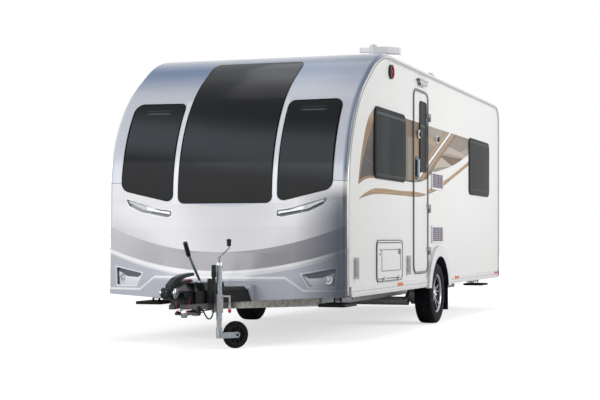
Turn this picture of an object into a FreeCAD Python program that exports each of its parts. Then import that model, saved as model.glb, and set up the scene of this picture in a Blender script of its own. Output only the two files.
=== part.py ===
# A touring caravan on one axle, parked on its two road wheels and its jockey wheel.
# Millimetres, +Z up. The front faces -Y and the entrance door is on the +X side ("near").
# The origin is on the ground, on the centreline, half way from the coupling's nose to the bumper.
# Places along the caravan are stations: distances behind the front edge of the body.
import FreeCAD, Part
import math
import os

V = FreeCAD.Vector

# ---------------------------------------------------------------- driving dimensions
BODY_LENGTH = 6630.0        # front edge of the body to the back of the bumper
NOSE_REACH = 1165.0         # coupling nose ahead of the body's front edge
BODY_WIDTH = 2192.0         # over the side walls
ROOF_LINE = 2566.0          # height of the edge rail along the roof
WALL = 30.0                 # side walls, door and locker lid
SEAM = 0.3                  # clearance between panels that meet on a curve
MOVE_GAP = 8.0              # clearance round a door or lid

FLOOR_TOP = 490.0
FLOOR_THICK = 50.0
SKIRT_LOW = 400.0
SKIRT_THICK = 14.0

# side view of the body, along the line of the edge rail
RAIL_FRONT = 70.0           # station of the rail's upright front run
LOWER_BEND = 1226.0         # radius of the lower front bend
UPPER_BEND = 1068.0         # radius of the upper front bend
LEAN = math.radians(56.7)   # how far the lower bend turns
BEND_GAP = 200.0            # straight run between the two front bends
REAR_BEND = 190.0
SHELL_OUT = 45.0            # outer skin of front, roof and rear outside the rail line
RAIL_REAR = BODY_LENGTH - SHELL_OUT     # station of the rail's upright rear run
SHELL_THICK = 35.0
SHELL_ROUND = 30.0          # rounding of the shell's long edges
RAIL_HIGH = 26.0            # edge rail strip, across its line
RAIL_PROUD = 13.0
FRONT_SEAM = 1400.0         # station where the front moulding meets the roof
REAR_SEAM = BODY_LENGTH - 290.0          # station where the roof meets the rear moulding

# front moulding
BULGE_TOP = 1200.0          # height where the lower moulding's bulge dies out
BULGE = ((365.0, 163.0), (540.0, 178.0), (780.0, 150.0), (1000.0, 72.0), (BULGE_TOP, 4.0))    # (height, depth)
FRONT_HEM = 412.0           # height of the moulding's lower edge at the corner
MIDDLE_HEM = 378.0          # and between the drawbar's legs
MIDDLE_HALF = 390.0
APRON_PROUD = 12.0          # apron round the drawbar, outside the moulding's face
APRON = (600.0, 560.0, 750.0, 452.0)    # half width and height of its top and of its shoulder
BEAD_PROUD = 9.0            # bead along the top of the lower zone
BEAD_MIDDLE, BEAD_END, BEAD_WIDE = 609.0, 797.0, 26.0    # heights at the middle and the corners, width
FOG_RECESS = ((1018.0, 650.0, 22.0), (731.0, 597.0, 14.0), (800.0, 490.0, 22.0), (1005.0, 490.0, 30.0))
FOG_RECESS_DEEP = 24.0
LAMP_SLOT = ((490.0, 1092.0, 16.0), (530.0, 1082.0, 16.0), (770.0, 1126.0, 60.0), (900.0, 1184.0, 30.0),
             (936.0, 1246.0, 6.0), (590.0, 1152.0, 60.0), (488.0, 1139.0, 14.0))
LAMP_STRIP = ((500.0, 1108.0, 5.0), (760.0, 1150.0, 60.0), (905.0, 1216.0, 5.0), (900.0, 1229.0, 3.0),
              (600.0, 1141.0, 60.0), (500.0, 1130.0, 5.0))
LAMP_SLOT_DEEP = 20.0
FOG_LAMP = (950.0, 551.0, 38.0)      # across, height, radius

# windows stand proud of their wall and reach through it
PANE_LAP = 14.0
PANE_PROUD = 12.0
FRONT_PANE_PROUD = 4.0
PANE_GAP = 0.3
CENTRE_PANE = ((-437.0, 1200.0, 60.0), (437.0, 1200.0, 60.0), (440.0, 2515.0, 60.0), (-440.0, 2515.0, 60.0))
CORNER_PANE = ((481.0, 1207.0, 60.0), (981.0, 1320.0, 90.0), (984.0, 2111.0, 80.0), (485.0, 2105.0, 60.0))

# side windows as (station, station, height, height, corner radius)
FRONT_WINDOW = (877.0, 1920.0, 1458.0, 2070.0, 60.0)
KITCHEN_WINDOW = (2700.0, 3600.0, 1458.0, 2070.0, 60.0)
BED_WINDOW = (BODY_LENGTH - 1800.0, BODY_LENGTH - 680.0, 1430.0, 2057.0, 60.0)
NEAR_WINDOWS = (FRONT_WINDOW, BED_WINDOW)
OFF_WINDOWS = (FRONT_WINDOW, KITCHEN_WINDOW, BED_WINDOW)
REAR_WINDOW = (-640.0, 640.0, 1430.0, 2000.0, 70.0)
DOOR = (2243.0, 2844.0, 549.0, 2390.0, 90.0)
DOOR_WINDOW = (2511.0, 2751.0, 1588.0, 2270.0, 30.0)
LOCKER = (960.0, 1790.0, 535.0, 855.0, 30.0)
FRAME_WIDE = 14.0           # trim frame round the locker
FRAME_PROUD = 8.0

HINGE_OUT = 25.0            # door pin's axis outside the wall
HINGE_TABLE = ((728.0, 810.0), (1161.0, 1248.0), (2099.0, 2181.0))   # heights of the door's hinges
HINGE_PIN = 6.0
KNUCKLE = 12.0
PIN_GAP = 0.08
LID_HINGE_OUT = 14.0
LID_PIN = 4.0
LID_KNUCKLE = 8.0
LID_HINGES = ((1120.0, 1200.0), (1620.0, 1700.0))    # stations

# road wheels and axle
WHEEL_STATION = 3265.0
WHEEL_INSET = 83.0          # wheel's middle inside the side wall's face
TYRE_RADIUS = 320.0
TYRE_WIDTH = 195.0
RIM_SEAT = 196.0
RIM_WIDTH = 150.0
SPOKES = 5
HUB_RADIUS = 62.0
STUB = 25.0
STUB_GAP = 0.06
AXLE_TUBE = 45.0
AXLE_LEAD = 150.0           # axle tube ahead of the wheels' centre
DRUM_RADIUS = 118.0

ARCH_RADIUS = 388.0         # wheel arch's opening, about the wheel's centre
ARCH_TRIM_WIDE = 114.0
ARCH_TRIM_PROUD = 38.0
ARCH_TRIM_LOW = SKIRT_LOW - 12.0
BOX_WALL = 10.0

# chassis
CHASSIS_LOW = 285.0
RAIL_HALF = 600.0           # chassis rails from the centreline
RAIL_THICK = 50.0
DRAWBAR_TOP = 373.0
LEG_THICK = 44.0
LEG_NOSE = (45.0, 205.0 - NOSE_REACH)     # front end of a drawbar leg's centreline: across, station
LEG_TAIL = (600.0, 900.0)
LEG_NOSE_LOW = 335.0        # a leg's lower edge at its front end, from where it falls to the rails
COVER_SHELF = 474.0         # heights of the cover: its side shelves, its rear step and its spine
COVER_STEP = 500.0
COVER_TOP = 540.0
COVER_WALL = 6.0
COVER_LEAN = 50.0           # how far its rear end leans

# jockey wheel
JACK_STATION = -600.0
JACK_OFF = 59.6             # jack's centre outside the centreline of the drawbar's leg
JACK_TUBE = 24.0
JACK_INNER = 20.0
JACK_GAP = 0.3
JACK_TOP = 700.0
JACK_FOOT = 230.0           # lower end of the outer tube
JACK_LIFT = 50.0            # how far the wheel winds up
FORK_REACH = 150.0
FORK_TURN = 50.0            # degrees from +X to the wheel, about the tube
JOCKEY_RADIUS = 112.0
JOCKEY_WIDTH = 52.0

HALF = BODY_WIDTH / 2
WHEEL_TRACK_HALF = HALF - WHEEL_INSET
MID = (BODY_LENGTH - NOSE_REACH) / 2
FLOOR_LOW = FLOOR_TOP - FLOOR_THICK
SHELL_IN = SHELL_OUT - SHELL_THICK
BEND_LOW = (ROOF_LINE - UPPER_BEND * (1 - math.sin(LEAN)) - BEND_GAP * math.cos(LEAN)
            - LOWER_BEND * math.sin(LEAN))


def st(station):
    """The frame's y at a station."""
    return station - MID


# ---------------------------------------------------------------- shape helpers
def box(x0, x1, y0, y1, z0, z1):
    return Part.makeBox(x1 - x0, y1 - y0, z1 - z0, V(x0, y0, z0))


def rod(start, end, radius):
    along = end - start
    return Part.makeCylinder(radius, along.Length, start, along)


def mirrored(shape):
    """The same piece on the other side of the centreline."""
    return shape.mirror(V(0, 0, 0), V(1, 0, 0))


def both(shape):
    return [shape, mirrored(shape)]


def rounded(a0, a1, b0, b1, radius):
    """Corner list of a rectangle with rounded corners."""
    return ((a0, b0, radius), (a1, b0, radius), (a1, b1, radius), (a0, b1, radius))


def grown(rect, by):
    a0, a1, b0, b1, radius = rect
    return rounded(a0 - by, a1 + by, b0 - by, b1 + by, max(radius + by, 0.5))


def loop(corners, place):
    """Closed wire through corners (a, b, radius); place(a, b) puts a point in space."""
    turns = []
    for i, (a, b, radius) in enumerate(corners):
        here = V(a, b, 0)
        back = V(corners[i - 1][0], corners[i - 1][1], 0) - here
        ahead = V(corners[(i + 1) % len(corners)][0], corners[(i + 1) % len(corners)][1], 0) - here
        back.normalize()
        ahead.normalize()
        if radius <= 0:
            turns.append((here, None, here))
            continue
        half = back.getAngle(ahead) / 2
        middle = back + ahead
        middle.normalize()
        reach = radius / math.tan(half)
        crown = here + middle * (radius / math.sin(half) - radius)
        turns.append((here + back * reach, crown, here + ahead * reach))
    edges = []
    for i, (start, middle, end) in enumerate(turns):
        if middle is not None:
            through = [place(p.x, p.y) for p in (start, middle, end)]
            edges.append(Part.Arc(*through).toShape())
        following = turns[(i + 1) % len(turns)][0]
        if end.distanceToPoint(following) > 1e-6:
            edges.append(Part.LineSegment(place(end.x, end.y), place(following.x, following.y)).toShape())
    return Part.Wire(edges)


def slab_x(corners, x0, x1):
    """Corners are (y, z, radius)."""
    return Part.Face(loop(corners, lambda a, b: V(x0, a, b))).extrude(V(x1 - x0, 0, 0))


def slab_y(corners, y0, y1):
    """Corners are (x, z, radius)."""
    return Part.Face(loop(corners, lambda a, b: V(a, y0, b))).extrude(V(0, y1 - y0, 0))


def slab_z(corners, z0, z1):
    """Corners are (x, y, radius)."""
    return Part.Face(loop(corners, lambda a, b: V(a, b, z0))).extrude(V(0, 0, z1 - z0))


def on_side(rect):
    """A rectangle's stations turned into the frame's y."""
    return (st(rect[0]), st(rect[1])) + tuple(rect[2:])


def joined(shapes):
    first = shapes[0]
    return first.fuse(shapes[1:]).removeSplitter() if len(shapes) > 1 else first


# ---------------------------------------------------------------- body shell
def body_outline(offset, low, x):
    """Closed side view of the body, `offset` outside the line of the edge rail."""
    lower = V(x, st(RAIL_FRONT) + LOWER_BEND, BEND_LOW)
    out = V(0, -math.cos(LEAN), math.sin(LEAN))
    along = V(0, math.sin(LEAN), math.cos(LEAN))
    upper = lower + out * (LOWER_BEND - UPPER_BEND) + along * BEND_GAP
    rear = V(x, st(RAIL_REAR) - REAR_BEND, ROOF_LINE - REAR_BEND)

    def ray(angle):
        return V(0, -math.cos(angle), math.sin(angle))

    big, mid, small = LOWER_BEND + offset, UPPER_BEND + offset, REAR_BEND + offset
    a = lower + ray(0) * big
    b = lower + ray(LEAN) * big
    c = upper + ray(LEAN) * mid
    d = upper + ray(math.pi / 2) * mid
    e = rear + ray(math.pi / 2) * small
    f = rear + ray(math.pi) * small
    g = V(x, f.y, low)
    h = V(x, a.y, low)
    return Part.Wire([
        Part.Arc(a, lower + ray(LEAN / 2) * big, b).toShape(),
        Part.LineSegment(b, c).toShape(),
        Part.Arc(c, upper + ray((LEAN + math.pi / 2) / 2) * mid, d).toShape(),
        Part.LineSegment(d, e).toShape(),
        Part.Arc(e, rear + ray(math.pi * 3 / 4) * small, f).toShape(),
        Part.LineSegment(f, g).toShape(),
        Part.LineSegment(g, h).toShape(),
        Part.LineSegment(h, a).toShape(),
    ])


def body_block(offset, low, x0, x1):
    return Part.Face(body_outline(offset, low, x0)).extrude(V(x1 - x0, 0, 0))


def shell_ring():
    """Front, roof and rear as one band that the side walls plug at both ends."""
    outer = body_block(SHELL_OUT, SKIRT_LOW, -HALF, HALF)
    long_edges = []
    for edge in outer.Edges:
        ends = [v.Point for v in edge.Vertexes]
        on_end = abs(abs(ends[0].x) - HALF) < 0.01 and abs(ends[0].x - ends[1].x) < 0.01
        if on_end and max(p.z for p in ends) > SKIRT_LOW + 1:
            long_edges.append(edge)
    outer = outer.makeFillet(SHELL_ROUND, long_edges)
    return outer.cut(body_block(SHELL_IN, SKIRT_LOW - 10, -HALF - 10, HALF + 10))


def bulge_section(height, depth, thick, proud):
    """Plan of the lower front moulding at one height, a curved strip `thick` deep."""
    face = st(RAIL_FRONT) - SHELL_OUT - proud
    near = HALF - SHELL_ROUND
    drop = depth * (1 - (near / HALF) ** 2)
    lean = SHELL_ROUND * (1 - math.sqrt(0.5))

    def p(x, y):
        return V(x, y, height)

    a, b = p(HALF, face + SHELL_ROUND), p(near, face - drop)
    c, d = p(-near, face - drop), p(-HALF, face + SHELL_ROUND)
    edges = [
        Part.Arc(a, p(HALF - lean, face + lean - drop / 2), b).toShape(),
        Part.Arc(b, p(0, face - depth), c).toShape(),
        Part.Arc(c, p(-HALF + lean, face + lean - drop / 2), d).toShape(),
    ]
    inner = max(face + thick, face + SHELL_ROUND + 1)
    e, f = p(-HALF, inner), p(HALF, inner)
    edges.append(Part.LineSegment(d, e).toShape())
    edges.append(Part.Arc(e, p(0, face + thick - depth), f).toShape())
    edges.append(Part.LineSegment(f, a).toShape())
    return Part.Wire(edges)


def bulge_strip(thick, proud=0.0):
    return Part.makeLoft([bulge_section(height, depth, thick, proud) for height, depth in BULGE], True, True)


def between(shape, y0, y1, z0, z1):
    wide = HALF + 50
    return shape.common(box(-wide, wide, y0, y1, z0, z1))


RING = shell_ring()
FAR = 400.0                 # cutting tools reach this far past what they cut


def skin(deep):
    """The outer layer of the front moulding, for pockets of one depth."""
    inside = body_block(SHELL_OUT - deep, SKIRT_LOW - 10, -HALF - 10, HALF + 10)
    return bulge_strip(deep).fuse(between(RING, st(-FAR), st(FRONT_SEAM), BULGE_TOP, ROOF_LINE).cut(inside))


def apron():
    """The raised lower edge of the moulding, higher round the drawbar."""
    top_half, top, shoulder_half, shoulder = APRON
    right = ((top_half, top, 50), (shoulder_half, shoulder, 30), (HALF, shoulder, 0), (HALF, BULGE[0][0], 0))
    left = tuple((-x, z, radius) for x, z, radius in reversed(right))
    return slab_y(left + right, st(-FAR), st(FAR)).common(bulge_strip(SHELL_THICK, APRON_PROUD))


def bead():
    """A curved bead across the moulding, above the fog lamps."""
    y, half = st(-FAR), BEAD_WIDE / 2

    def arc(by):
        ends = [V(side * HALF, y, BEAD_END + by) for side in (-1, 1)]
        return ends, Part.Arc(ends[0], V(0, y, BEAD_MIDDLE + by), ends[1]).toShape()

    low_ends, low = arc(-half)
    high_ends, high = arc(half)
    sides = [Part.LineSegment(low_ends[i], high_ends[i]).toShape() for i in (0, 1)]
    band = Part.Face(Part.Wire(Part.__sortEdges__([low, sides[1], high, sides[0]]))).extrude(V(0, FAR * 2, 0))
    return band.common(bulge_strip(SHELL_THICK, BEAD_PROUD))


def hitch_fairing():
    """The moulding's housing that the rear of the drawbar cover runs into."""
    front, rear, half = COVER_REAR[0] + COVER_LEAN + SEAM, st(0), COVER_REAR[1] + 6
    y0 = st(front)
    high = COVER_STEP + 8
    corners = ((y0, MIDDLE_HEM, 0), (rear, MIDDLE_HEM, 0), (rear, high, 0), (y0 - COVER_LEAN, high, 20))
    block = slab_x(corners, -half, half)
    behind = slab_y(rounded(-HALF, HALF, BULGE[0][0], BULGE_TOP, 0), st(-FAR), st(FAR)).common(bulge_strip(FAR))
    return block.cut(behind)


def front_panel():
    top = between(RING, st(-FAR), st(FRONT_SEAM), BULGE_TOP, ROOF_LINE + FAR)
    panel = top.fuse([bulge_strip(SHELL_THICK), apron(), bead(), hitch_fairing()])
    hem = ((-HALF - 9, FRONT_HEM, 0), (-MIDDLE_HALF, MIDDLE_HEM, 0), (MIDDLE_HALF, MIDDLE_HEM, 0),
           (HALF + 9, FRONT_HEM, 0), (HALF + 9, BULGE[0][0] - 50, 0), (-HALF - 9, BULGE[0][0] - 50, 0))
    tools = [slab_y(hem, st(-FAR), st(FAR))]
    tools += both(slab_y(FOG_RECESS, st(-FAR), st(FAR)).common(bulge_strip(FOG_RECESS_DEEP)))
    tools += both(slab_y(LAMP_SLOT, st(-FAR), st(FAR)).common(skin(LAMP_SLOT_DEEP)))
    tools.append(slab_y(CENTRE_PANE, st(-FAR), st(FRONT_SEAM)))
    tools += both(slab_y(CORNER_PANE, st(-FAR), st(FRONT_SEAM)))
    return panel.cut(tools)


def front_pane(corners):
    """A pane that fills its opening in the front moulding and stands a little proud of it."""
    rim = body_block(SHELL_OUT + FRONT_PANE_PROUD, BULGE_TOP - 10, -HALF, HALF)
    skin = rim.cut(body_block(SHELL_IN + 12, SKIRT_LOW - 20, -HALF - 10, HALF + 10))
    return slab_y(corners, st(-FAR), st(FRONT_SEAM - 40)).common(skin)


def wall_blank(x0, x1):
    return body_block(SHELL_IN - SEAM, FLOOR_TOP, x0, x1)


def arch(grow, x0, x1):
    """A disc about the wheel's centre that is the wheel arch's opening, grown by a margin."""
    centre = V(0, st(WHEEL_STATION), TYRE_RADIUS)
    return rod(centre + V(x0, 0, 0), centre + V(x1, 0, 0), ARCH_RADIUS + grow)


def side_wall(windows, holes):
    blank = wall_blank(HALF - WALL, HALF)
    tools = [slab_x(rounded(*on_side(w)), HALF - WALL - 9, HALF + 9) for w in windows]
    tools += [slab_x(grown(on_side(h), MOVE_GAP), HALF - WALL - 9, HALF + 9) for h in holes]
    tools.append(arch(0, HALF - WALL - 9, HALF + 9))
    return blank.cut(tools)


def side_pane(window):
    rect = on_side(window)
    lap = slab_x(grown(rect, PANE_LAP), HALF, HALF + PANE_PROUD)
    plug = slab_x(grown(rect, -PANE_GAP), HALF - WALL + 6, HALF)
    return lap.fuse(plug).removeSplitter()


def rear_panel():
    back = between(RING, st(REAR_SEAM), st(BODY_LENGTH + FAR), SKIRT_LOW, ROOF_LINE + FAR)
    hole = slab_y(rounded(*REAR_WINDOW), st(RAIL_REAR - 99), st(RAIL_REAR + 99))
    return back.cut(hole)


def rear_pane():
    out = st(RAIL_REAR) + SHELL_OUT
    lap = slab_y(grown(REAR_WINDOW, PANE_LAP), out, out + 9)
    plug = slab_y(grown(REAR_WINDOW, -PANE_GAP), out - SHELL_THICK + 6, out)
    return lap.fuse(plug).removeSplitter()


def edge_rail():
    """The rail strip along front, roof and rear of one side wall."""
    half = RAIL_HIGH / 2
    strip = body_block(half, SKIRT_LOW + 20, HALF, HALF + RAIL_PROUD)
    return strip.cut(body_block(-half, SKIRT_LOW - 20, HALF - 9, HALF + RAIL_PROUD + 9))


# ---------------------------------------------------------------- floor, skirts, wheel arches
WELL_IN = WHEEL_TRACK_HALF - TYRE_WIDTH / 2 - 30


def floor():
    front, rear = st(RAIL_FRONT - SHELL_IN) + SEAM, st(RAIL_REAR + SHELL_IN) - SEAM
    plate = box(-HALF, HALF, front, rear, FLOOR_LOW, FLOOR_TOP)
    grow = BOX_WALL + SEAM
    return plate.cut(both(arch(grow, WELL_IN - grow, HALF + 9)))


def wheel_box():
    """Inner arch over one wheel, closed to the cabin and open to the outside."""
    below = box(0, HALF + 9, st(0), st(BODY_LENGTH), -FAR, FLOOR_LOW)
    return arch(BOX_WALL, WELL_IN - BOX_WALL, HALF - WALL).cut([arch(0, WELL_IN, HALF), below])


def arch_trim():
    """A round rim about the wheel arch's opening."""
    below = box(0, HALF + 99, st(0), st(BODY_LENGTH), -FAR, ARCH_TRIM_LOW)
    outer = arch(ARCH_TRIM_WIDE, HALF, HALF + ARCH_TRIM_PROUD)
    return outer.cut([arch(0, HALF - 9, HALF + ARCH_TRIM_PROUD + 9), below])


TRIM_END = ARCH_RADIUS + ARCH_TRIM_WIDE - 20.0
SKIRTS = ((RAIL_FRONT + 70.0, WHEEL_STATION - TRIM_END), (WHEEL_STATION + TRIM_END, RAIL_REAR - 85.0))
MARKERS = ((1630.0, 1800.0), (4050.0, 4220.0), (RAIL_REAR - 295.0, RAIL_REAR - 125.0))
MARKER_LOW, MARKER_HIGH, MARKER_PROUD = 452.0, 478.0, 7.0
MUDFLAP_LOW = 120.0


def skirt(start, end):
    """Side skirt; the arch's trim runs over its end."""
    front, rear = (60, 0) if start < WHEEL_STATION else (0, 30)
    corners = ((st(start), SKIRT_LOW, front), (st(end), SKIRT_LOW, rear), (st(end), FLOOR_TOP, 0),
               (st(start), FLOOR_TOP, 0))
    return slab_x(corners, HALF, HALF + SKIRT_THICK).cut(arch(ARCH_TRIM_WIDE + SEAM, HALF - 9, HALF + 99))


def marker(start, end):
    out = HALF + SKIRT_THICK
    return slab_x(rounded(st(start), st(end), MARKER_LOW, MARKER_HIGH, 8), out, out + MARKER_PROUD)


def mudflap():
    y = st(WHEEL_STATION + ARCH_RADIUS + ARCH_TRIM_WIDE + 20)
    return box(WHEEL_TRACK_HALF - TYRE_WIDTH / 2, HALF - 6, y, y + 6, MUDFLAP_LOW, FLOOR_LOW)


# ---------------------------------------------------------------- door and locker
def door_panel():
    rect = on_side(DOOR)
    leaf = slab_x(rounded(*rect), HALF - WALL, HALF)
    hole = slab_x(rounded(*on_side(DOOR_WINDOW)), HALF - WALL - 9, HALF + 9)
    return leaf.cut(hole)


HANDLE_PLATE = (DOOR[0] + 88.0, DOOR[0] + 224.0, 1480.0, 1720.0, 66.0)
HANDLE_GRIP = (DOOR[0] + 110.0, DOOR[0] + 166.0, 1515.0, 1685.0, 26.0)


def door_handle():
    plate = slab_x(rounded(*on_side(HANDLE_PLATE)), HALF, HALF + 8)
    grip = slab_x(rounded(*on_side(HANDLE_GRIP)), HALF + 8, HALF + 20)
    return plate.fuse(grip).removeSplitter()


def knuckle_set(low, high, y, x, pin, knuckle, leaf_reach):
    """One upright hinge: its fixed half on the wall with the pin, and the turning half on the door."""
    middle = (low + high) / 2
    fixed = rod(V(x, y, low), V(x, y, middle), knuckle)
    fixed = fixed.fuse(box(HALF, x, y, y + leaf_reach, low, middle))
    fixed = fixed.fuse(rod(V(x, y, low), V(x, y, high - 1), pin)).removeSplitter()
    turning = rod(V(x, y, middle + SEAM), V(x, y, high), knuckle)
    turning = turning.fuse(box(HALF, x, y - leaf_reach, y, middle + SEAM, high))
    turning = turning.cut(rod(V(x, y, low), V(x, y, high - 1 + SEAM), pin + PIN_GAP)).removeSplitter()
    return fixed, turning


def door_hinges():
    y = st(DOOR[1]) + MOVE_GAP / 2
    sets = [knuckle_set(low, high, y, HALF + HINGE_OUT, HINGE_PIN, KNUCKLE, 46.0) for low, high in HINGE_TABLE]
    return [fixed for fixed, turning in sets], [turning for fixed, turning in sets]


def locker_frame():
    outer = slab_x(grown(on_side(LOCKER), FRAME_WIDE + MOVE_GAP), HALF, HALF + FRAME_PROUD)
    return outer.cut(slab_x(grown(on_side(LOCKER), MOVE_GAP), HALF - 9, HALF + FRAME_PROUD + 9))


def locker_lid():
    return slab_x(rounded(*on_side(LOCKER)), HALF - WALL, HALF + FRAME_PROUD)


def lid_hinges():
    """Hinges along the lid's lower edge: fixed halves with pins, and turning halves."""
    z = LOCKER[2] - MOVE_GAP / 2
    x = HALF + LID_HINGE_OUT + 3
    fixed, turning = [], []
    for start, end in LID_HINGES:
        y0, y1 = st(start), st(end)
        middle = (y0 + y1) / 2
        base = rod(V(x, y0, z), V(x, middle, z), LID_KNUCKLE)
        base = base.fuse(box(HALF + FRAME_PROUD, x, y0, middle, z - 26, z))
        base = base.fuse(rod(V(x, y0, z), V(x, y1 - 1, z), LID_PIN)).removeSplitter()
        leaf = rod(V(x, middle + SEAM, z), V(x, y1, z), LID_KNUCKLE)
        leaf = leaf.fuse(box(HALF + FRAME_PROUD, x, middle + SEAM, y1, z, z + 26))
        leaf = leaf.cut(rod(V(x, y0, z), V(x, y1 - 1 + SEAM, z), LID_PIN + PIN_GAP)).removeSplitter()
        fixed.append(base)
        turning.append(leaf)
    return fixed, turning


# ---------------------------------------------------------------- small pieces on the walls
VENTS = ((2990.0, 3495.0, 1410.0, 1595.0, 14.0), (2990.0, 3495.0, 848.0, 1035.0, 14.0))
VENT_PROUD = 12.0
VENT_SLOTS = 6


def vent(rect):
    plate = slab_x(rounded(*on_side(rect)), HALF, HALF + VENT_PROUD)
    y0, y1, z0, z1, radius = on_side(rect)
    pitch = (z1 - z0 - 30) / VENT_SLOTS
    low = z0 + 15
    slots = [box(HALF + 5, HALF + 99, y0 + 20, y1 - 20, low + pitch * (i + 0.25), low + pitch * (i + 0.75))
             for i in range(VENT_SLOTS)]
    return plate.cut(slots)


GRIPS = ((280.0, 550.0, 737.0), (2020.0, 547.0, 733.0))     # station, foot, head
GRIP_OUT = 45.0


def grab_handle(station, low, high):
    """A bar on two feet, with finger room behind it."""
    y = st(station)
    bar = box(HALF + GRIP_OUT - 14, HALF + GRIP_OUT, y - 14, y + 14, low, high)
    feet = [box(HALF, HALF + GRIP_OUT - 14, y - 14, y + 14, low, low + 26),
            box(HALF, HALF + GRIP_OUT - 14, y - 14, y + 14, high - 26, high)]
    return joined([bar] + feet)


FLUE = (1410.0, 2450.0, 67.0, 50.0, 20.0)        # station, height, radii of its flange, recess and nozzle
AWNING_LAMP = (DOOR[0] + 127.0, DOOR[1] - 104.0, DOOR[3] + 46.0, DOOR[3] + 110.0)     # stations, heights
AWNING_LAMP_SLOPE = 70.0


def flue():
    station, z, flange, recess, nozzle = FLUE

    def disc(start, end, radius):
        return rod(V(HALF + start, st(station), z), V(HALF + end, st(station), z), radius)

    return disc(0, 24, flange).cut(disc(8, 30, recess)).fuse(disc(0, 22, nozzle))


def awning_lamp():
    start, end, low, high = AWNING_LAMP
    foot = ((st(start + AWNING_LAMP_SLOPE), low, 10), (st(end - AWNING_LAMP_SLOPE), low, 10))
    corners = foot + ((st(end), high, 8), (st(start), high, 8))
    return slab_x(corners, HALF, HALF + 36)


def front_lamps():
    """A strip lamp on the floor of its slot, flush with the moulding."""
    return both(slab_y(LAMP_STRIP, st(-FAR), st(FAR)).common(skin(LAMP_SLOT_DEEP)))


def fog_lamps():
    x, z, radius = FOG_LAMP
    blank = rod(V(x, st(-30), z), V(x, st(60), z), radius)
    pocket = slab_y(FOG_RECESS, st(-FAR), st(FAR)).common(bulge_strip(FOG_RECESS_DEEP))
    lamp = blank.cut(bulge_strip(SHELL_THICK).cut(pocket))
    pieces = [s for s in lamp.Solids if s.BoundBox.YMin < st(0)]
    return both(pieces[0])


# inset at the body, inset at the back, depth, heights
BUMPER = (30.0, 80.0, 40.0, SKIRT_LOW + 5.0, FLOOR_TOP + 70.0)


def rear_bumper():
    inset, back_inset, deep, low, high = BUMPER
    out = st(RAIL_REAR) + SHELL_OUT
    return slab_z(((-HALF + inset, out, 0), (HALF - inset, out, 0), (HALF - back_inset, out + deep, 30),
                   (-HALF + back_inset, out + deep, 30)), low, high)


LAMP_CLUSTER = (HALF - 216.0, HALF - 66.0, 640.0, 1150.0, 40.0)


def rear_lamps():
    out = st(RAIL_REAR) + SHELL_OUT
    return both(slab_y(rounded(*LAMP_CLUSTER), out, out + 34))


def rear_plate():
    out = st(RAIL_REAR) + SHELL_OUT
    return slab_y(rounded(-270, 270, 640, 760, 8), out, out + 10)


# rooflights as (across, station, half width, half length, height)
ROOFLIGHTS = ((0.0, 2350.0, 350.0, 260.0, 80.0), (0.0, 4300.0, 210.0, 210.0, 60.0))
ROOF_TOP = ROOF_LINE + SHELL_OUT


def rooflight(x, station, half_x, half_y, high):
    y = st(station)
    return slab_z(rounded(x - half_x, x + half_x, y - half_y, y + half_y, 50), ROOF_TOP, ROOF_TOP + high)


COWL = (HALF - 191.0, 3740.0, 30.0, 48.0, 80.0)       # across, station, stem radius, cap radius, stem height
AERIAL = (HALF - 256.0, 1740.0)


def roof_cowl():
    x, station, stem, cap, high = COWL
    foot = V(x, st(station), ROOF_TOP)
    head = rod(foot + V(0, 0, high - 10), foot + V(0, 0, high + 16), cap)
    return rod(foot, foot + V(0, 0, high), stem).fuse(head)


def aerial():
    """A directional aerial: a boss on a stem, with a short and a long swept wing."""
    x, y = AERIAL[0], st(AERIAL[1])
    base = rod(V(x, y, ROOF_TOP), V(x, y, ROOF_TOP + 60), 45)
    boss = rod(V(x, y, ROOF_TOP + 60), V(x, y, ROOF_TOP + 134), 40)
    boss = boss.fuse(rod(V(x, y, ROOF_TOP + 134), V(x, y, ROOF_TOP + 148), 30))
    long_wing = slab_z(((x, y - 38, 0), (x + 130, y - 22, 40), (x + 236, y + 96, 18), (x + 226, y + 186, 18),
                        (x + 120, y + 120, 40), (x, y + 40, 0)), ROOF_TOP + 64, ROOF_TOP + 122)
    short_wing = slab_z(((x, y - 32, 0), (x - 140, y - 16, 14), (x - 140, y + 44, 14), (x, y + 36, 0)),
                        ROOF_TOP + 78, ROOF_TOP + 120)
    return joined([base, boss, long_wing, short_wing])


BOTTLE = (170.0, 225.0, 128.0, 495.0)     # across, station, radius, height


def gas_bottle():
    """One of the two bottles in the front locker, a plain block for its weight."""
    across, station, radius, high = BOTTLE
    return rod(V(across, st(station), FLOOR_TOP), V(across, st(station), FLOOR_TOP + high), radius)


# ---------------------------------------------------------------- chassis and axle
def leg_at(station):
    """Across position of a drawbar leg's centreline."""
    share = (station - LEG_NOSE[1]) / (LEG_TAIL[1] - LEG_NOSE[1])
    return LEG_NOSE[0] + share * (LEG_TAIL[0] - LEG_NOSE[0])


CHASSIS_ENDS = (RAIL_FRONT + 750.0, RAIL_REAR - 435.0)     # stations of the rails' ends

RAIL_HOLES = (1450.0, 1850.0, 2250.0, 4250.0, 4850.0, 5450.0)        # stations of the rails' lightening holes
RAIL_HOLE = 38.0


def chassis_rails():
    start, end = CHASSIS_ENDS
    inner, outer = RAIL_HALF - RAIL_THICK / 2, RAIL_HALF + RAIL_THICK / 2
    z = (CHASSIS_LOW + FLOOR_LOW) / 2
    holes = [rod(V(inner - 9, st(s), z), V(outer + 9, st(s), z), RAIL_HOLE) for s in RAIL_HOLES]
    return both(box(inner, outer, st(start), st(end), CHASSIS_LOW, FLOOR_LOW).cut(holes))


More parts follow.
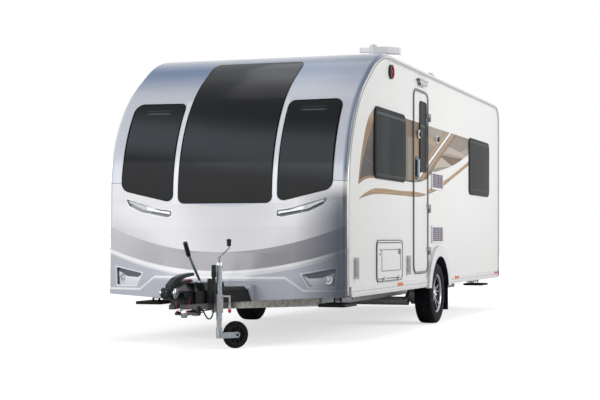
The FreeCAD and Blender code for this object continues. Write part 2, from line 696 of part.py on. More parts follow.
def drawbar_leg():
    ax, ay = LEG_NOSE[0], st(LEG_NOSE[1])
    bx, by = LEG_TAIL[0], st(LEG_TAIL[1])
    along = V(bx - ax, by - ay, 0)
    along.normalize()
    side = V(along.y, -along.x, 0) * (LEG_THICK / 2)
    a, b = V(ax, ay, 0), V(bx, by, 0)
    corners = [a + side, b + side, b - side, a - side]
    leg = slab_z([(p.x, p.y, 0) for p in corners], CHASSIS_LOW, DRAWBAR_TOP)
    under = ((ay - 99, CHASSIS_LOW - 9, 0), (by, CHASSIS_LOW - 9, 0), (by, CHASSIS_LOW, 0),
             (ay, LEG_NOSE_LOW, 0), (ay - 99, LEG_NOSE_LOW, 0))
    return leg.cut([chassis_rails()[0], slab_x(under, 0, HALF)])


CROSS_STATIONS = (CHASSIS_ENDS[0] + 180.0, 2300.0, 4600.0, CHASSIS_ENDS[1] - 100.0)
CROSS_LOW = FLOOR_LOW - 80.0


def cross_members():
    inner = RAIL_HALF - RAIL_THICK / 2
    return [box(-inner, inner, st(s), st(s) + 40, CROSS_LOW, FLOOR_LOW) for s in CROSS_STATIONS]


AXLE_Y = st(WHEEL_STATION) - AXLE_LEAD
AXLE_Z = CHASSIS_LOW - AXLE_TUBE
ARM_IN, ARM_OUT = 780.0, 820.0
BRAKE_ROD_Z = 320.0
HOUSING = (-58.0, 58.0, 215.0 - NOSE_REACH, 695.0 - NOSE_REACH, DRAWBAR_TOP, DRAWBAR_TOP + 97.0)


def axle():
    tube = rod(V(-ARM_OUT, AXLE_Y, AXLE_Z), V(ARM_OUT, AXLE_Y, AXLE_Z), AXLE_TUBE)
    brake_rod = rod(V(0, st(HOUSING[3]), BRAKE_ROD_Z), V(0, AXLE_Y, BRAKE_ROD_Z), 6)
    relay = box(-14, 14, AXLE_Y - 12, AXLE_Y + 12, AXLE_Z, BRAKE_ROD_Z + 12)
    parts = [tube, brake_rod, relay]
    wheel_y, wheel_z = st(WHEEL_STATION), TYRE_RADIUS
    for side in (-1, 1):
        lean = V(0, wheel_y - AXLE_Y, wheel_z - AXLE_Z)
        lean.normalize()
        over = V(0, -lean.z, lean.y) * 38
        a, b = V(side * ARM_IN, AXLE_Y, AXLE_Z), V(side * ARM_IN, wheel_y, wheel_z)
        corners = [a - over, b - over, b + over, a + over]
        arm = Part.Face(Part.makePolygon(corners + [corners[0]])).extrude(V(side * (ARM_OUT - ARM_IN), 0, 0))
        parts += [arm, rod(V(side * ARM_IN, wheel_y, wheel_z), V(side * ARM_OUT, wheel_y, wheel_z), 38)]
        hub = V(0, wheel_y, wheel_z)
        parts.append(rod(hub + V(side * ARM_OUT, 0, 0), hub + V(side * DRUM_OUT, 0, 0), DRUM_RADIUS))
        parts.append(rod(V(side * DRUM_OUT, wheel_y, wheel_z), V(side * STUB_END, wheel_y, wheel_z), STUB))
    return joined(parts)


DRUM_OUT = WHEEL_TRACK_HALF - 62.0
HUB_IN = DRUM_OUT + 5.0
STUB_END = WHEEL_TRACK_HALF + 40.0
DISC_IN = WHEEL_TRACK_HALF + 34.0
DISC_OUT = WHEEL_TRACK_HALF + 56.0


def revolved(points, centre):
    """A closed (x, r) profile turned about the wheel's axle."""
    corners = [V(centre.x + x, centre.y, centre.z + r) for x, r in points]
    face = Part.Face(Part.makePolygon(corners + [corners[0]]))
    return face.revolve(centre, V(1, 0, 0), 360)


def tyre():
    """Bead, sidewall, shoulder and tread, turned about the axle."""
    centre = V(WHEEL_TRACK_HALF, st(WHEEL_STATION), TYRE_RADIUS)
    half = TYRE_WIDTH / 2
    tread = TYRE_RADIUS
    seat = RIM_SEAT

    def p(x, r):
        return V(centre.x + x, centre.y, centre.z + r)

    edges = [
        Part.LineSegment(p(-half + 22, seat), p(half - 22, seat)).toShape(),
        Part.Arc(p(half - 22, seat), p(half, (seat + tread) / 2 - 8), p(half - 8, tread - 24)).toShape(),
        Part.Arc(p(half - 8, tread - 24), p(half - 14, tread - 11), p(half - 28, tread - 4)).toShape(),
        Part.Arc(p(half - 28, tread - 4), p(0, tread), p(-half + 28, tread - 4)).toShape(),
        Part.Arc(p(-half + 28, tread - 4), p(-half + 14, tread - 11), p(-half + 8, tread - 24)).toShape(),
        Part.Arc(p(-half + 8, tread - 24), p(-half, (seat + tread) / 2 - 8), p(-half + 22, seat)).toShape(),
    ]
    return Part.Face(Part.Wire(edges)).revolve(centre, V(1, 0, 0), 360)


# openings between spokes: half angle, inner radius, turn from the first, rounding
WHEEL_WINDOWS = ((23.0, 78.0, 0.0, 6.0), (5.0, 96.0, 180.0 / SPOKES, 3.0))


def rim():
    """Barrel, hub and a disc with paired spokes; a blind bore runs on the stub axle."""
    centre = V(WHEEL_TRACK_HALF, st(WHEEL_STATION), TYRE_RADIUS)
    half = RIM_WIDTH / 2
    outer, inner = RIM_SEAT - SEAM, RIM_SEAT - 14
    barrel = revolved([(-half, outer), (half, outer), (half, inner), (-half, inner)], centre)
    disc = revolved([(DISC_IN - centre.x, 0), (DISC_OUT - centre.x, 0), (DISC_OUT - centre.x - 4, RIM_SEAT - 6),
                     (DISC_IN - centre.x, RIM_SEAT - 6)], centre)
    hub = rod(V(HUB_IN, centre.y, centre.z), V(DISC_IN, centre.y, centre.z), HUB_RADIUS)
    cap = rod(V(DISC_OUT - 5, centre.y, centre.z), V(DISC_OUT + 9, centre.y, centre.z), 34)
    tools = [rod(V(HUB_IN - 9, centre.y, centre.z), V(STUB_END + 1, centre.y, centre.z), STUB + STUB_GAP)]
    reach = RIM_SEAT - 26
    for i in range(SPOKES):
        turn = 360.0 / SPOKES * i
        for spread, inner, offset, rounding in WHEEL_WINDOWS:
            points = []
            foot = spread * 0.55
            for angle, radius in ((-foot, inner), (foot, inner), (spread, reach), (-spread, reach)):
                a = math.radians(turn + offset + angle)
                points.append((centre.y + radius * math.sin(a), centre.z + radius * math.cos(a), rounding))
            tools.append(slab_x(points, DISC_IN - 9, DISC_OUT + 9))
    return joined([barrel, disc, hub, cap]).cut(tools)


# ---------------------------------------------------------------- hitch
COUPLING_Z = 450.0
SOCKET = (60.0 - NOSE_REACH, 25.3)    # station of the ball socket and its radius
HEAD_LOW, SOCKET_TOP, HEAD_TOP = 420.0, 470.0, 512.0
FRICTION_DISC = (42.0, 22.0, 470.0)   # radius, how far it stands out of the head, height
HEAD_HALF = 38.0
# the coupling's upper handle and the stabiliser's lower one, corners (distance behind the nose, height, radius)
LEVERS = (((40.0, 534.0, 12.0), (150.0, 588.0, 120.0), (300.0, 612.0, 300.0), (494.0, 622.0, 10.0),
           (494.0, 598.0, 10.0), (310.0, 584.0, 200.0), (190.0, 545.0, 60.0), (150.0, 505.0, 10.0),
           (40.0, 505.0, 10.0)),
          ((120.0, 520.0, 5.0), (250.0, 556.0, 80.0), (440.0, 568.0, 9.0), (440.0, 546.0, 9.0),
           (270.0, 532.0, 80.0), (160.0, 505.0, 5.0), (120.0, 505.0, 5.0)))
LEVER_HALVES = (24.0, 34.0)
COVER_FRONT = (395.0 - NOSE_REACH, 78.0)      # station and half width of the cover's ends
COVER_REAR = (-250.0, 338.0)
SPINE_REAR = (-400.0, 190.0)          # station and half width where the spine steps down


def hitch_housing():
    x0, x1, s0, s1, z0, z1 = HOUSING
    body = box(x0, x1, st(s0), st(s1), z0, z1)
    shaft = rod(V(0, st(s0 - 70), COUPLING_Z), V(0, st(s0), COUPLING_Z), 30)
    bracket = box(-16, 16, st(s1 - 60), st(s1), BRAKE_ROD_Z - 20, z0)
    return joined([body, shaft, bracket])


def coupling_head():
    nose = st(-NOSE_REACH)
    back = st(HOUSING[2] - 70)
    head = box(-HEAD_HALF, HEAD_HALF, nose, back, HEAD_LOW, HEAD_TOP)
    rounding = [e for e in head.Edges if all(abs(v.Point.y - nose) < 0.1 for v in e.Vertexes)]
    head = head.makeFillet(HEAD_HALF - 5, rounding)
    radius, out, height = FRICTION_DISC
    reach = HEAD_HALF + out
    discs = rod(V(-reach, st(SOCKET[0]), height), V(reach, st(SOCKET[0]), height), radius)
    socket = rod(V(0, st(SOCKET[0]), HEAD_LOW - 20), V(0, st(SOCKET[0]), SOCKET_TOP), SOCKET[1])
    return head.fuse(discs).cut(socket).removeSplitter()


def coupling_lever():
    handles = []
    for outline, half in zip(LEVERS, LEVER_HALVES):
        corners = [(st(back - NOSE_REACH), height, radius) for back, height, radius in outline]
        handles.append(slab_x(corners, -half, half))
    return joined(handles).cut(coupling_head())


def cover_blank(by):
    """The cover's outer form, or its hollow when every face moves in by `by`."""
    front, front_half = COVER_FRONT
    rear, rear_half = COVER_REAR
    spine, spine_half = SPINE_REAR

    def wedge(start, start_half, end, end_half, low, high, taper):
        wires = []
        for z, shrink in ((low, by), (high - by, by + taper)):
            y0, y1 = st(start + shrink), st(end - by)
            wires.append(Part.makePolygon([V(-start_half + shrink, y0, z), V(start_half - shrink, y0, z),
                                           V(end_half - shrink, y1, z), V(-end_half + shrink, y1, z),
                                           V(-start_half + shrink, y0, z)]))
        return Part.makeLoft(wires, True, True)

    base = wedge(front, front_half, rear + COVER_LEAN, rear_half, DRAWBAR_TOP, COVER_SHELF, 0)
    ridge = wedge(front, front_half, spine, spine_half, COVER_SHELF - 30, COVER_TOP, 22)
    low = COVER_SHELF - 30
    step = wedge(spine - 120, spine_half - 40, rear + COVER_LEAN, rear_half - 6, low, COVER_STEP, 12)
    lean = ((st(rear) - by, COVER_TOP, 0), (st(rear + 90), COVER_TOP, 0), (st(rear + 90), DRAWBAR_TOP - 1, 0),
            (st(rear + COVER_LEAN) - by, DRAWBAR_TOP - 1, 0), (st(rear) - by, COVER_STEP, 0))
    return base.fuse([ridge, step]).cut(slab_x(lean, -HALF, HALF))


def drawbar_cover():
    """Black cover over the drawbar, a wedge in plan with a raised spine, open below."""
    front = st(COVER_FRONT[0])
    slot = box(-22, 22, BRAKE_FOOT.y - 120, BRAKE_FOOT.y + 50, COVER_TOP - 40, COVER_TOP + 9)
    mouth = box(HOUSING[0] - 4, HOUSING[1] + 4, front - 10, front + 30, DRAWBAR_TOP, HOUSING[5] + 4)
    return cover_blank(0).cut([cover_blank(COVER_WALL), slot, mouth]).removeSplitter()


BRAKE_FOOT = V(0, st(HOUSING[3] - 50.0), HOUSING[5])


def handbrake_lever():
    knee = BRAKE_FOOT + V(0, 12, 84)
    grip = BRAKE_FOOT + V(0, -245, 330)
    tip = BRAKE_FOOT + V(0, -280, 396)
    lever = rod(BRAKE_FOOT, knee, 13).fuse(Part.makeSphere(13, knee)).fuse(rod(knee, grip, 11))
    return joined([lever, rod(grip + (knee - tip) * 0.12, tip, 17)]).cut(hitch_housing())


# ---------------------------------------------------------------- jockey wheel
JACK_X, JACK_Y = leg_at(JACK_STATION) + JACK_OFF, st(JACK_STATION)


def jack_tube():
    outer = rod(V(JACK_X, JACK_Y, JACK_FOOT), V(JACK_X, JACK_Y, JACK_TOP), JACK_TUBE)
    bore = rod(V(JACK_X, JACK_Y, JACK_FOOT - 9), V(JACK_X, JACK_Y, JACK_TOP - 12), JACK_INNER + JACK_GAP)
    spindle = rod(V(JACK_X, JACK_Y, JACK_TOP), V(JACK_X, JACK_Y, JACK_TOP + 45), 7)
    knee = V(JACK_X, JACK_Y, JACK_TOP + 45)
    elbow = V(JACK_X + 86, JACK_Y, JACK_TOP + 120)
    top = V(JACK_X + 86, JACK_Y, JACK_TOP + 194)
    arm = rod(knee, elbow, 6).fuse([Part.makeSphere(7, knee), Part.makeSphere(6, elbow), rod(elbow, top, 6)])
    grip = rod(elbow + V(0, 0, 24), top, 15)
    return joined([outer.cut(bore), spindle, arm, grip])


def jack_clamp():
    """Clamp that holds the jack's tube against the outside of the drawbar leg."""
    low, high = CHASSIS_LOW + 12, DRAWBAR_TOP + 70
    leg_x = leg_at(JACK_STATION)
    collar = rod(V(JACK_X, JACK_Y, low), V(JACK_X, JACK_Y, high), JACK_TUBE + 9)
    web = box(leg_x, JACK_X, JACK_Y - 16, JACK_Y + 16, low, high - 72)
    elbow = V(JACK_X + 92, JACK_Y, high - 14)
    handle = rod(V(JACK_X + 20, JACK_Y, elbow.z), elbow, 7).fuse(Part.makeSphere(8.5, elbow))
    knob = rod(elbow - V(0, 0, 76), elbow - V(0, 0, 116), 12)
    handle = handle.fuse([rod(elbow, elbow - V(0, 0, 78), 7), knob])
    piece = joined([collar, web, handle])
    return piece.cut([rod(V(JACK_X, JACK_Y, low - 9), V(JACK_X, JACK_Y, high + 9), JACK_TUBE), drawbar_leg()])


FORK_TOP = JACK_FOOT - JACK_LIFT - 5.0
FORK_LOW = JOCKEY_RADIUS - 24.0
FORK_HALF = JOCKEY_WIDTH / 2 + 5.0
FORK_PLATE = 5.0
FORK_DEEP = 48.0
FORK_PIN = 8.0
FORK_END = 22.0             # fork's plates beyond the wheel's axle


def jack_inner():
    return rod(V(JACK_X, JACK_Y, FORK_TOP - 30), V(JACK_X, JACK_Y, JACK_TOP - 160), JACK_INNER)


def turned(shape):
    """From the fork's own frame, wheel towards +X, to its rest place about the jack's tube."""
    return shape.rotate(V(JACK_X, JACK_Y, 0), V(0, 0, 1), FORK_TURN)


def jack_fork():
    """A cup on the inner tube, with two plates that carry the wheel's axle."""
    cup = rod(V(JACK_X, JACK_Y, FORK_LOW), V(JACK_X, JACK_Y, FORK_TOP), JACK_TUBE)
    seat = V(JACK_X, JACK_Y, FORK_TOP - 30 - SEAM)
    cup = cup.cut(rod(seat, V(JACK_X, JACK_Y, FORK_TOP + 9), JACK_INNER + PIN_GAP))
    back, end = JACK_X - 4, JACK_X + FORK_REACH + FORK_END
    high = FORK_LOW + FORK_DEEP
    nose = FORK_DEEP * 0.45
    outline = ((back, FORK_LOW, 0), (end, FORK_LOW, nose), (end, high, nose), (back, high, 0))
    outer = FORK_HALF + FORK_PLATE
    plates = [slab_y(outline, JACK_Y + side * FORK_HALF, JACK_Y + side * outer) for side in (-1, 1)]
    cheek = box(back, JACK_X + 26, JACK_Y - outer, JACK_Y + outer, FORK_LOW, high)
    cheek = cheek.cut(rod(V(JACK_X, JACK_Y, FORK_LOW - 9), V(JACK_X, JACK_Y, FORK_TOP), JACK_TUBE - 2))
    pin = V(0, outer + 3, 0)
    axle_centre = V(JACK_X + FORK_REACH, JACK_Y, JOCKEY_RADIUS)
    return turned(joined([cup, cheek, rod(axle_centre - pin, axle_centre + pin, FORK_PIN)] + plates))


def jockey_wheel():
    """Hub, web and tyre in one outline of (along the axle, radius, rounding), turned about the axle."""
    centre = V(JACK_X + FORK_REACH, JACK_Y, JOCKEY_RADIUS)
    half = JOCKEY_WIDTH / 2
    outline = ((half, FORK_PIN + PIN_GAP, 0), (half, 34, 0), (half - 10, 44, 6), (half - 10, 70, 6),
               (half - 2, 78, 0), (half - 2, JOCKEY_RADIUS, 18))
    other_half = tuple((-along, radius, rounding) for along, radius, rounding in reversed(outline))
    face = Part.Face(loop(outline + other_half, lambda along, radius: centre + V(0, along, radius)))
    return turned(face.revolve(centre, V(0, 1, 0), 360))


# ---------------------------------------------------------------- corner steadies
# Each leg lies folded under the floor and swings down about its inner end; its foot stays level.
STEADY_REACH = 370.0        # pivot of the leg to pivot of the foot
STEADY_HIGH = 365.0         # height of both pivots when folded
STEADY_PIN = 7.0
STEADY_WEB = 24.0           # half width of the leg's channel
FOOT_DROP = 60.0            # underside of the foot below its pivot
FOOT_THICK = 26.0
FOOT_LONG = 380.0
FOOT_WIDE = 250.0
STEADIES = {                # pivot across, pivot station, 1 when the leg points to the rear
    "front_near": (870.0, 880.0, -1),
    "front_off": (-870.0, 880.0, -1),
    "rear_near": (870.0, RAIL_REAR - 685.0, 1),
    "rear_off": (-870.0, RAIL_REAR - 685.0, 1),
}


def steady(across, station, way):
    """Folded leg, its foot, and the bracket that carries them."""
    base = V(across, st(station), STEADY_HIGH)

    def block(a0, a1, half, c0, c1):
        """A box by its reach along the leg, half width and heights from the pivots."""
        y0, y1 = sorted((base.y + way * a0, base.y + way * a1))
        return box(base.x - half, base.x + half, y0, y1, base.z + c0, base.z + c1)

    def pin(reach, half, radius):
        y = base.y + way * reach
        return rod(V(base.x - half, y, base.z), V(base.x + half, y, base.z), radius)

    channel = block(-14, STEADY_REACH + 14, STEADY_WEB, -14, 12)
    channel = channel.cut(block(16, STEADY_REACH - 16, STEADY_WEB - 4, -10, 20))
    leg = channel.cut([pin(0, 90, STEADY_PIN + PIN_GAP), pin(STEADY_REACH, 90, STEADY_PIN + PIN_GAP)])
    ear_in, ear_out = STEADY_WEB + 3, STEADY_WEB + 9
    half_pad = FOOT_LONG / 2
    start, end = STEADY_REACH - half_pad, STEADY_REACH + half_pad
    pad = block(start, end, FOOT_WIDE / 2, -FOOT_DROP, -FOOT_DROP + FOOT_THICK)
    upright = [e for e in pad.Edges if abs(e.Vertexes[0].Point.z - e.Vertexes[1].Point.z) > 1]
    pad = pad.makeFillet(30, upright)
    foot_ears = block(STEADY_REACH - 16, STEADY_REACH + 16, ear_out, -FOOT_DROP + FOOT_THICK, 14)
    foot_ears = foot_ears.cut(block(STEADY_REACH - 20, STEADY_REACH + 20, ear_in, -FOOT_DROP + FOOT_THICK, 20))
    foot = joined([pad, foot_ears, pin(STEADY_REACH, ear_out, STEADY_PIN)])
    top = FLOOR_LOW - STEADY_HIGH
    ears = block(-16, 16, ear_out, -16, top - 6).cut(block(-20, 20, ear_in, -20, top - 6))
    bracket = joined([block(-30, 30, ear_out + 14, top - 6, top), ears, pin(0, ear_out, STEADY_PIN)])
    return leg, foot, bracket


# ---------------------------------------------------------------- leads
def bent_tube(route, radius):
    """A tube of straight runs joined by tangent arcs, as large as the two runs allow."""
    spans = [(route[i + 1] - route[i]) for i in range(len(route) - 1)]
    edges, radii = [], []
    start = route[0]
    for i in range(1, len(route) - 1):
        before, after = spans[i - 1], spans[i]
        turn = before.getAngle(after)
        reach = 0.45 * min(before.Length, after.Length)
        bend = reach / math.tan(turn / 2)
        radii.append(round(bend, 1))
        back, ahead = before * (-1 / before.Length), after * (1 / after.Length)
        inward = back + ahead
        inward.normalize()
        a, b = route[i] + back * reach, route[i] + ahead * reach
        middle = route[i] + inward * (bend / math.cos(turn / 2) - bend)
        edges.append(Part.LineSegment(start, a).toShape())
        edges.append(Part.Arc(a, middle, b).toShape())
        start = b
    edges.append(Part.LineSegment(start, route[-1]).toShape())
    path = Part.Wire(edges)
    section = Part.Wire(Part.makeCircle(radius, route[0], spans[0]))
    tube = path.makePipeShell([section], True, False)
    wanted = math.pi * radius ** 2 * path.Length
    print("lead radii", radii, "length %.1f" % path.Length, "volume ratio %.4f" % (tube.Volume / wanted))
    return tube


LEAD = 6.0
LEAD_START = (132.0, -796.0, 338.0)
LEAD_ROUTE = ((160.0, -801.0, 318.0), (173.0, -795.0, 285.0), (180.0, -765.0, 257.0), (185.0, -728.0, 250.0),
              (188.0, -692.0, 266.0), (190.0, -668.0, 303.0), (190.0, -660.0, 350.0), (190.0, -657.0, 398.0),
              (190.0, -657.0, 447.0), (190.0, -660.0, 495.0))
LEAD_END = (190.0, -660.0, 540.0)
CABLE = 2.2
CABLE_START = (54.0, -1098.0, 412.0)
CABLE_ROUTE = ((54.0, -1098.0, 382.0), (56.0, -1086.0, 350.0), (64.0, -1060.0, 322.0), (76.0, -1018.0, 304.0),
               (88.0, -975.0, 310.0), (94.0, -945.0, 338.0), (94.0, -930.0, 376.0))
CABLE_END = (94.0, -930.0, 412.0)


def spots(*groups):
    """(across, station, height) triples as points of the frame."""
    return [V(x, st(s), z) for group in groups for x, s, z in group]


def socket_lead():
    return bent_tube(spots((LEAD_START,), LEAD_ROUTE, (LEAD_END,)), LEAD)


def breakaway_cable():
    return bent_tube(spots((CABLE_START,), CABLE_ROUTE, (CABLE_END,)), CABLE)


def lead_gland():
    end = spots((LEAD_START,))[0]
    along = spots((LEAD_ROUTE[0],))[0] - end
    along.normalize()
    return rod(end - along * 30, end, 10).cut(drawbar_leg())


def lead_plug():
    foot = spots((LEAD_END,))[0]
    return joined([rod(foot, foot + V(0, 0, 40), 11), rod(foot + V(0, 0, 40), foot + V(0, 0, 150), 19)])


def plug_holder():
    """A loop on the drawbar leg that the parked plug stands in."""
    foot = spots((LEAD_END,))[0]
    low, high = foot.z + 4, foot.z + 34
    x, y = foot.x, foot.y
    ring = rod(V(x, y, low), V(x, y, high), 17)
    strap = box(leg_at(LEAD_END[1]), x, y - 3, y + 3, DRAWBAR_TOP, high)
    return joined([ring, strap]).cut([rod(V(x, y, DRAWBAR_TOP - 9), V(x, y, high + 9), 11.2), drawbar_cover()])


def cable_clip():
    end = spots((CABLE_START,))[0]
    return rod(end, end + V(0, 0, 30), 6).cut(coupling_head())


def cable_anchor():
    """A lug on the side of the hitch housing that the cable ends in."""
    end = spots((CABLE_END,))[0]
    return box(HOUSING[1], end.x + 8, end.y - 8, end.y + 8, end.z, end.z + 24)


# ---------------------------------------------------------------- the parts, by node
def solids(shape):
    return list(shape.Solids)


def build():
    nodes = {}
    nodes["front_panel"] = front_panel()
    nodes["roof"] = between(RING, st(FRONT_SEAM), st(REAR_SEAM), ROOF_LINE - 300, ROOF_LINE + FAR)
    nodes["rear_panel"] = rear_panel()
    near = side_wall(NEAR_WINDOWS, (DOOR, LOCKER))
    off = mirrored(side_wall(OFF_WINDOWS, ()))
    nodes["wall_near"] = near
    nodes["wall_off"] = off
    nodes["floor"] = floor()
    nodes["windows_front"] = [front_pane(CENTRE_PANE)] + both(front_pane(CORNER_PANE))
    side_panes = [side_pane(w) for w in NEAR_WINDOWS] + [mirrored(side_pane(w)) for w in OFF_WINDOWS]
    nodes["windows_cabin"] = side_panes + [rear_pane()]
    nodes["edge_rails"] = both(edge_rail())
    nodes["skirts"] = [piece for s in SKIRTS for piece in both(skirt(*s))]
    nodes["side_markers"] = [piece for m in MARKERS for piece in both(marker(*m))]
    nodes["arch_trims"] = both(arch_trim())
    nodes["wheel_boxes"] = both(wheel_box()) + both(mudflap())
    nodes["fridge_vents"] = [vent(v) for v in VENTS]
    nodes["grab_handles"] = [piece for g in GRIPS for piece in both(grab_handle(*g))]
    nodes["flue_outlet"] = flue()
    nodes["clear_lamps"] = front_lamps() + fog_lamps() + [awning_lamp()]
    nodes["rear_bumper"] = [rear_bumper(), rear_plate()]
    nodes["rear_lamps"] = rear_lamps()
    nodes["rooflights"] = [rooflight(*r) for r in ROOFLIGHTS]
    nodes["roof_fittings"] = [aerial(), roof_cowl()]
    nodes["gas_bottles"] = both(gas_bottle())

    nodes["chassis_frame"] = joined(chassis_rails() + cross_members())
    nodes["drawbar_legs"] = both(drawbar_leg())
    nodes["axle"] = axle()
    nodes["hitch_housing"] = hitch_housing()
    nodes["coupling_head"] = coupling_head()
    nodes["coupling_lever"] = coupling_lever()
    nodes["drawbar_cover"] = drawbar_cover()
    nodes["handbrake_lever"] = handbrake_lever()
    nodes["jack_tube"] = jack_tube()
    nodes["jack_clamp"] = jack_clamp()
    nodes["lead_fittings"] = [lead_gland(), plug_holder(), cable_clip(), cable_anchor()]
    nodes["lead_plug"] = lead_plug()
    nodes["socket_lead"] = socket_lead()
    nodes["breakaway_cable"] = breakaway_cable()

    fixed, turning = door_hinges()
    lid_fixed, lid_turning = lid_hinges()
    nodes["hinge_halves"] = fixed + lid_fixed
    nodes["door_panel"] = door_panel()
    nodes["door_window"] = side_pane(DOOR_WINDOW)
    nodes["door_fittings"] = [door_handle()] + turning
    nodes["locker_frame"] = locker_frame()
    nodes["locker_lid"] = joined([locker_lid()] + lid_turning)
    for side, put in (("near", lambda s: s), ("off", mirrored)):
        nodes["tyre_" + side] = put(tyre())
        nodes["rim_" + side] = put(rim())
    nodes["jack_inner"] = jack_inner()
    nodes["jack_fork"] = jack_fork()
    nodes["jockey_wheel"] = jockey_wheel()
    brackets = []
    for corner, places in STEADIES.items():
        leg, foot, bracket = steady(*places)
        nodes["steady_" + corner] = leg
        nodes["foot_" + corner] = foot
        brackets.append(bracket)
    nodes["steady_brackets"] = brackets
    return nodes


def main():
    os.makedirs("parts", exist_ok=True)
    for name, shape in build().items():
        if isinstance(shape, list):
            pieces = [solid for piece in shape for solid in piece.Solids]
        else:
            pieces = list(shape.Solids)
        whole = pieces[0] if len(pieces) == 1 else Part.makeCompound(pieces)
        whole.exportStep("parts/%s.step" % name)
        figures = (name, len(pieces), whole.isValid(), whole.Volume / 1e9)
        print("%-22s solids %d  valid %s  volume %.4f m3" % figures)


main()
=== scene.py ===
"""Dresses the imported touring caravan: panels, glazing, lamps, wheels, hitch, jockey wheel and leads."""

import math

import bmesh
import bpy
from bpy.props import FloatProperty, FloatVectorProperty, IntProperty, PointerProperty
from mathutils import Matrix, Vector
from mathutils.bvhtree import BVHTree


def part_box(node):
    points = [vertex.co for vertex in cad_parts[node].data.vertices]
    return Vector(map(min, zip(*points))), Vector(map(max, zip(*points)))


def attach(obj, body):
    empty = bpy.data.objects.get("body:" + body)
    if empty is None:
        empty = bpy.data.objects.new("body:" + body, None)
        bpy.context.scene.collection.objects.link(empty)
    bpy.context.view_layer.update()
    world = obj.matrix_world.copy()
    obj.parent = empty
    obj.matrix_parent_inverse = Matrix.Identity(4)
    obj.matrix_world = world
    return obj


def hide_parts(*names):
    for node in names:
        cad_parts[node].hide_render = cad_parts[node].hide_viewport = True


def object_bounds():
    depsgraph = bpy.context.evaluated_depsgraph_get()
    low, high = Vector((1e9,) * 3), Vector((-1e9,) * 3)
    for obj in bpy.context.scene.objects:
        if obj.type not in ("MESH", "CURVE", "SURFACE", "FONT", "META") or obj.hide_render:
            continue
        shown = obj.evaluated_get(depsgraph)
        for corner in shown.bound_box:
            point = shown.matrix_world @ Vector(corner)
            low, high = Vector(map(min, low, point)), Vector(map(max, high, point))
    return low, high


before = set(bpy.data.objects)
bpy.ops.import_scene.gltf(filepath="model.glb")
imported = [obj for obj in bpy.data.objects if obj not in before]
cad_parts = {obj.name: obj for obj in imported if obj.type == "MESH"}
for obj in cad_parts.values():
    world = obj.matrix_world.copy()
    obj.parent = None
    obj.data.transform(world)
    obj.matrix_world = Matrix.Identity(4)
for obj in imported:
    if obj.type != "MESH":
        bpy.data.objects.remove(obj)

bl_info = {
    "name": "Touring Caravan",
    "version": (1, 0, 0),
    "blender": (4, 5, 0),
    "location": "View3D > Sidebar > Caravan",
    "description": "Finishes, trim, glazing, wheels and hitch of a touring caravan",
    "category": "Object",
}

CAD_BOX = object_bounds()
NOSE_REACH = 1.165          # the coupling's nose ahead of the body's front edge
BODY_FRONT = CAD_BOX[0].y + NOSE_REACH
WALL_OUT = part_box("wall_near")[1].x
ALONG_X, ALONG_Y, ALONG_Z = Vector((1, 0, 0)), Vector((0, 1, 0)), Vector((0, 0, 1))
ROOT = "caravan"


def st(station):
    """The frame's y at a distance behind the body's front edge."""
    return BODY_FRONT + station


# ---------------------------------------------------------------- settings
def colour_setting(name, description, default):
    return FloatVectorProperty(name=name, description=description, default=default, size=3, min=0, max=1,
                               subtype="COLOR")


def length_setting(name, description, default):
    return FloatProperty(name=name, description=description, default=default, min=0, unit="LENGTH")


class CaravanColours(bpy.types.PropertyGroup):
    """Colours that an owner would choose."""

    side: colour_setting("Side panels", "Satin skin of the side walls, door and locker", (0.80, 0.79, 0.77))
    moulding: colour_setting("Lower moulding", "Gloss white of the lower front moulding", (0.74, 0.735, 0.75))
    silver: colour_setting("Upper moulding", "Silver of the upper front, roof and rear", (0.57, 0.60, 0.67))
    # painted reflection: the shoulder's blue stands for a reflection in the silver moulding
    shoulder: colour_setting("Shoulder", "Blue of the upper moulding's shoulder", (0.020, 0.105, 0.28))
    apron: colour_setting("Apron", "Silver below the front moulding's bead", (0.43, 0.45, 0.52))
    band: colour_setting("Grey band", "Band across the lower front moulding", (0.29, 0.28, 0.305))
    tan: colour_setting("Tan stripe", "Main colour of the side stripes", (0.40, 0.245, 0.12))
    decor_dark: colour_setting("Dark panel", "Dark field of the side decor", (0.065, 0.064, 0.062))
    decor_mid: colour_setting("Taupe panel", "Middle field of the side decor", (0.30, 0.25, 0.20))
    glazing: colour_setting("Front glazing", "Tinted acrylic of the front windows", (0.012, 0.014, 0.017))
    cabin_glazing: colour_setting("Cabin glazing", "Tinted acrylic of the side and rear windows",
                                  (0.022, 0.026, 0.027))
    trim: colour_setting("White trim", "Skirts, arch trims, vents and frames", (0.80, 0.79, 0.79))
    rail: colour_setting("Edge rail", "Sealing rail along the side walls' edges", (0.62, 0.60, 0.57))
    lead_red: colour_setting("Breakaway cable", "Plastic cover of the breakaway cable", (0.55, 0.02, 0.03))


class CaravanSizes(bpy.types.PropertyGroup):
    """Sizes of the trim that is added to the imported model."""

    seal: length_setting("Window seal", "Width of the black seal round a side window", 0.012)
    tread_depth: length_setting("Tread depth", "Depth of the tyres' grooves", 0.007)
    tread_ribs: IntProperty(name="Tread blocks", description="Blocks round a tyre's shoulder", default=72,
                            min=12)
    rail_insert: length_setting("Rail insert", "Width of the insert in the edge rail", 0.009)


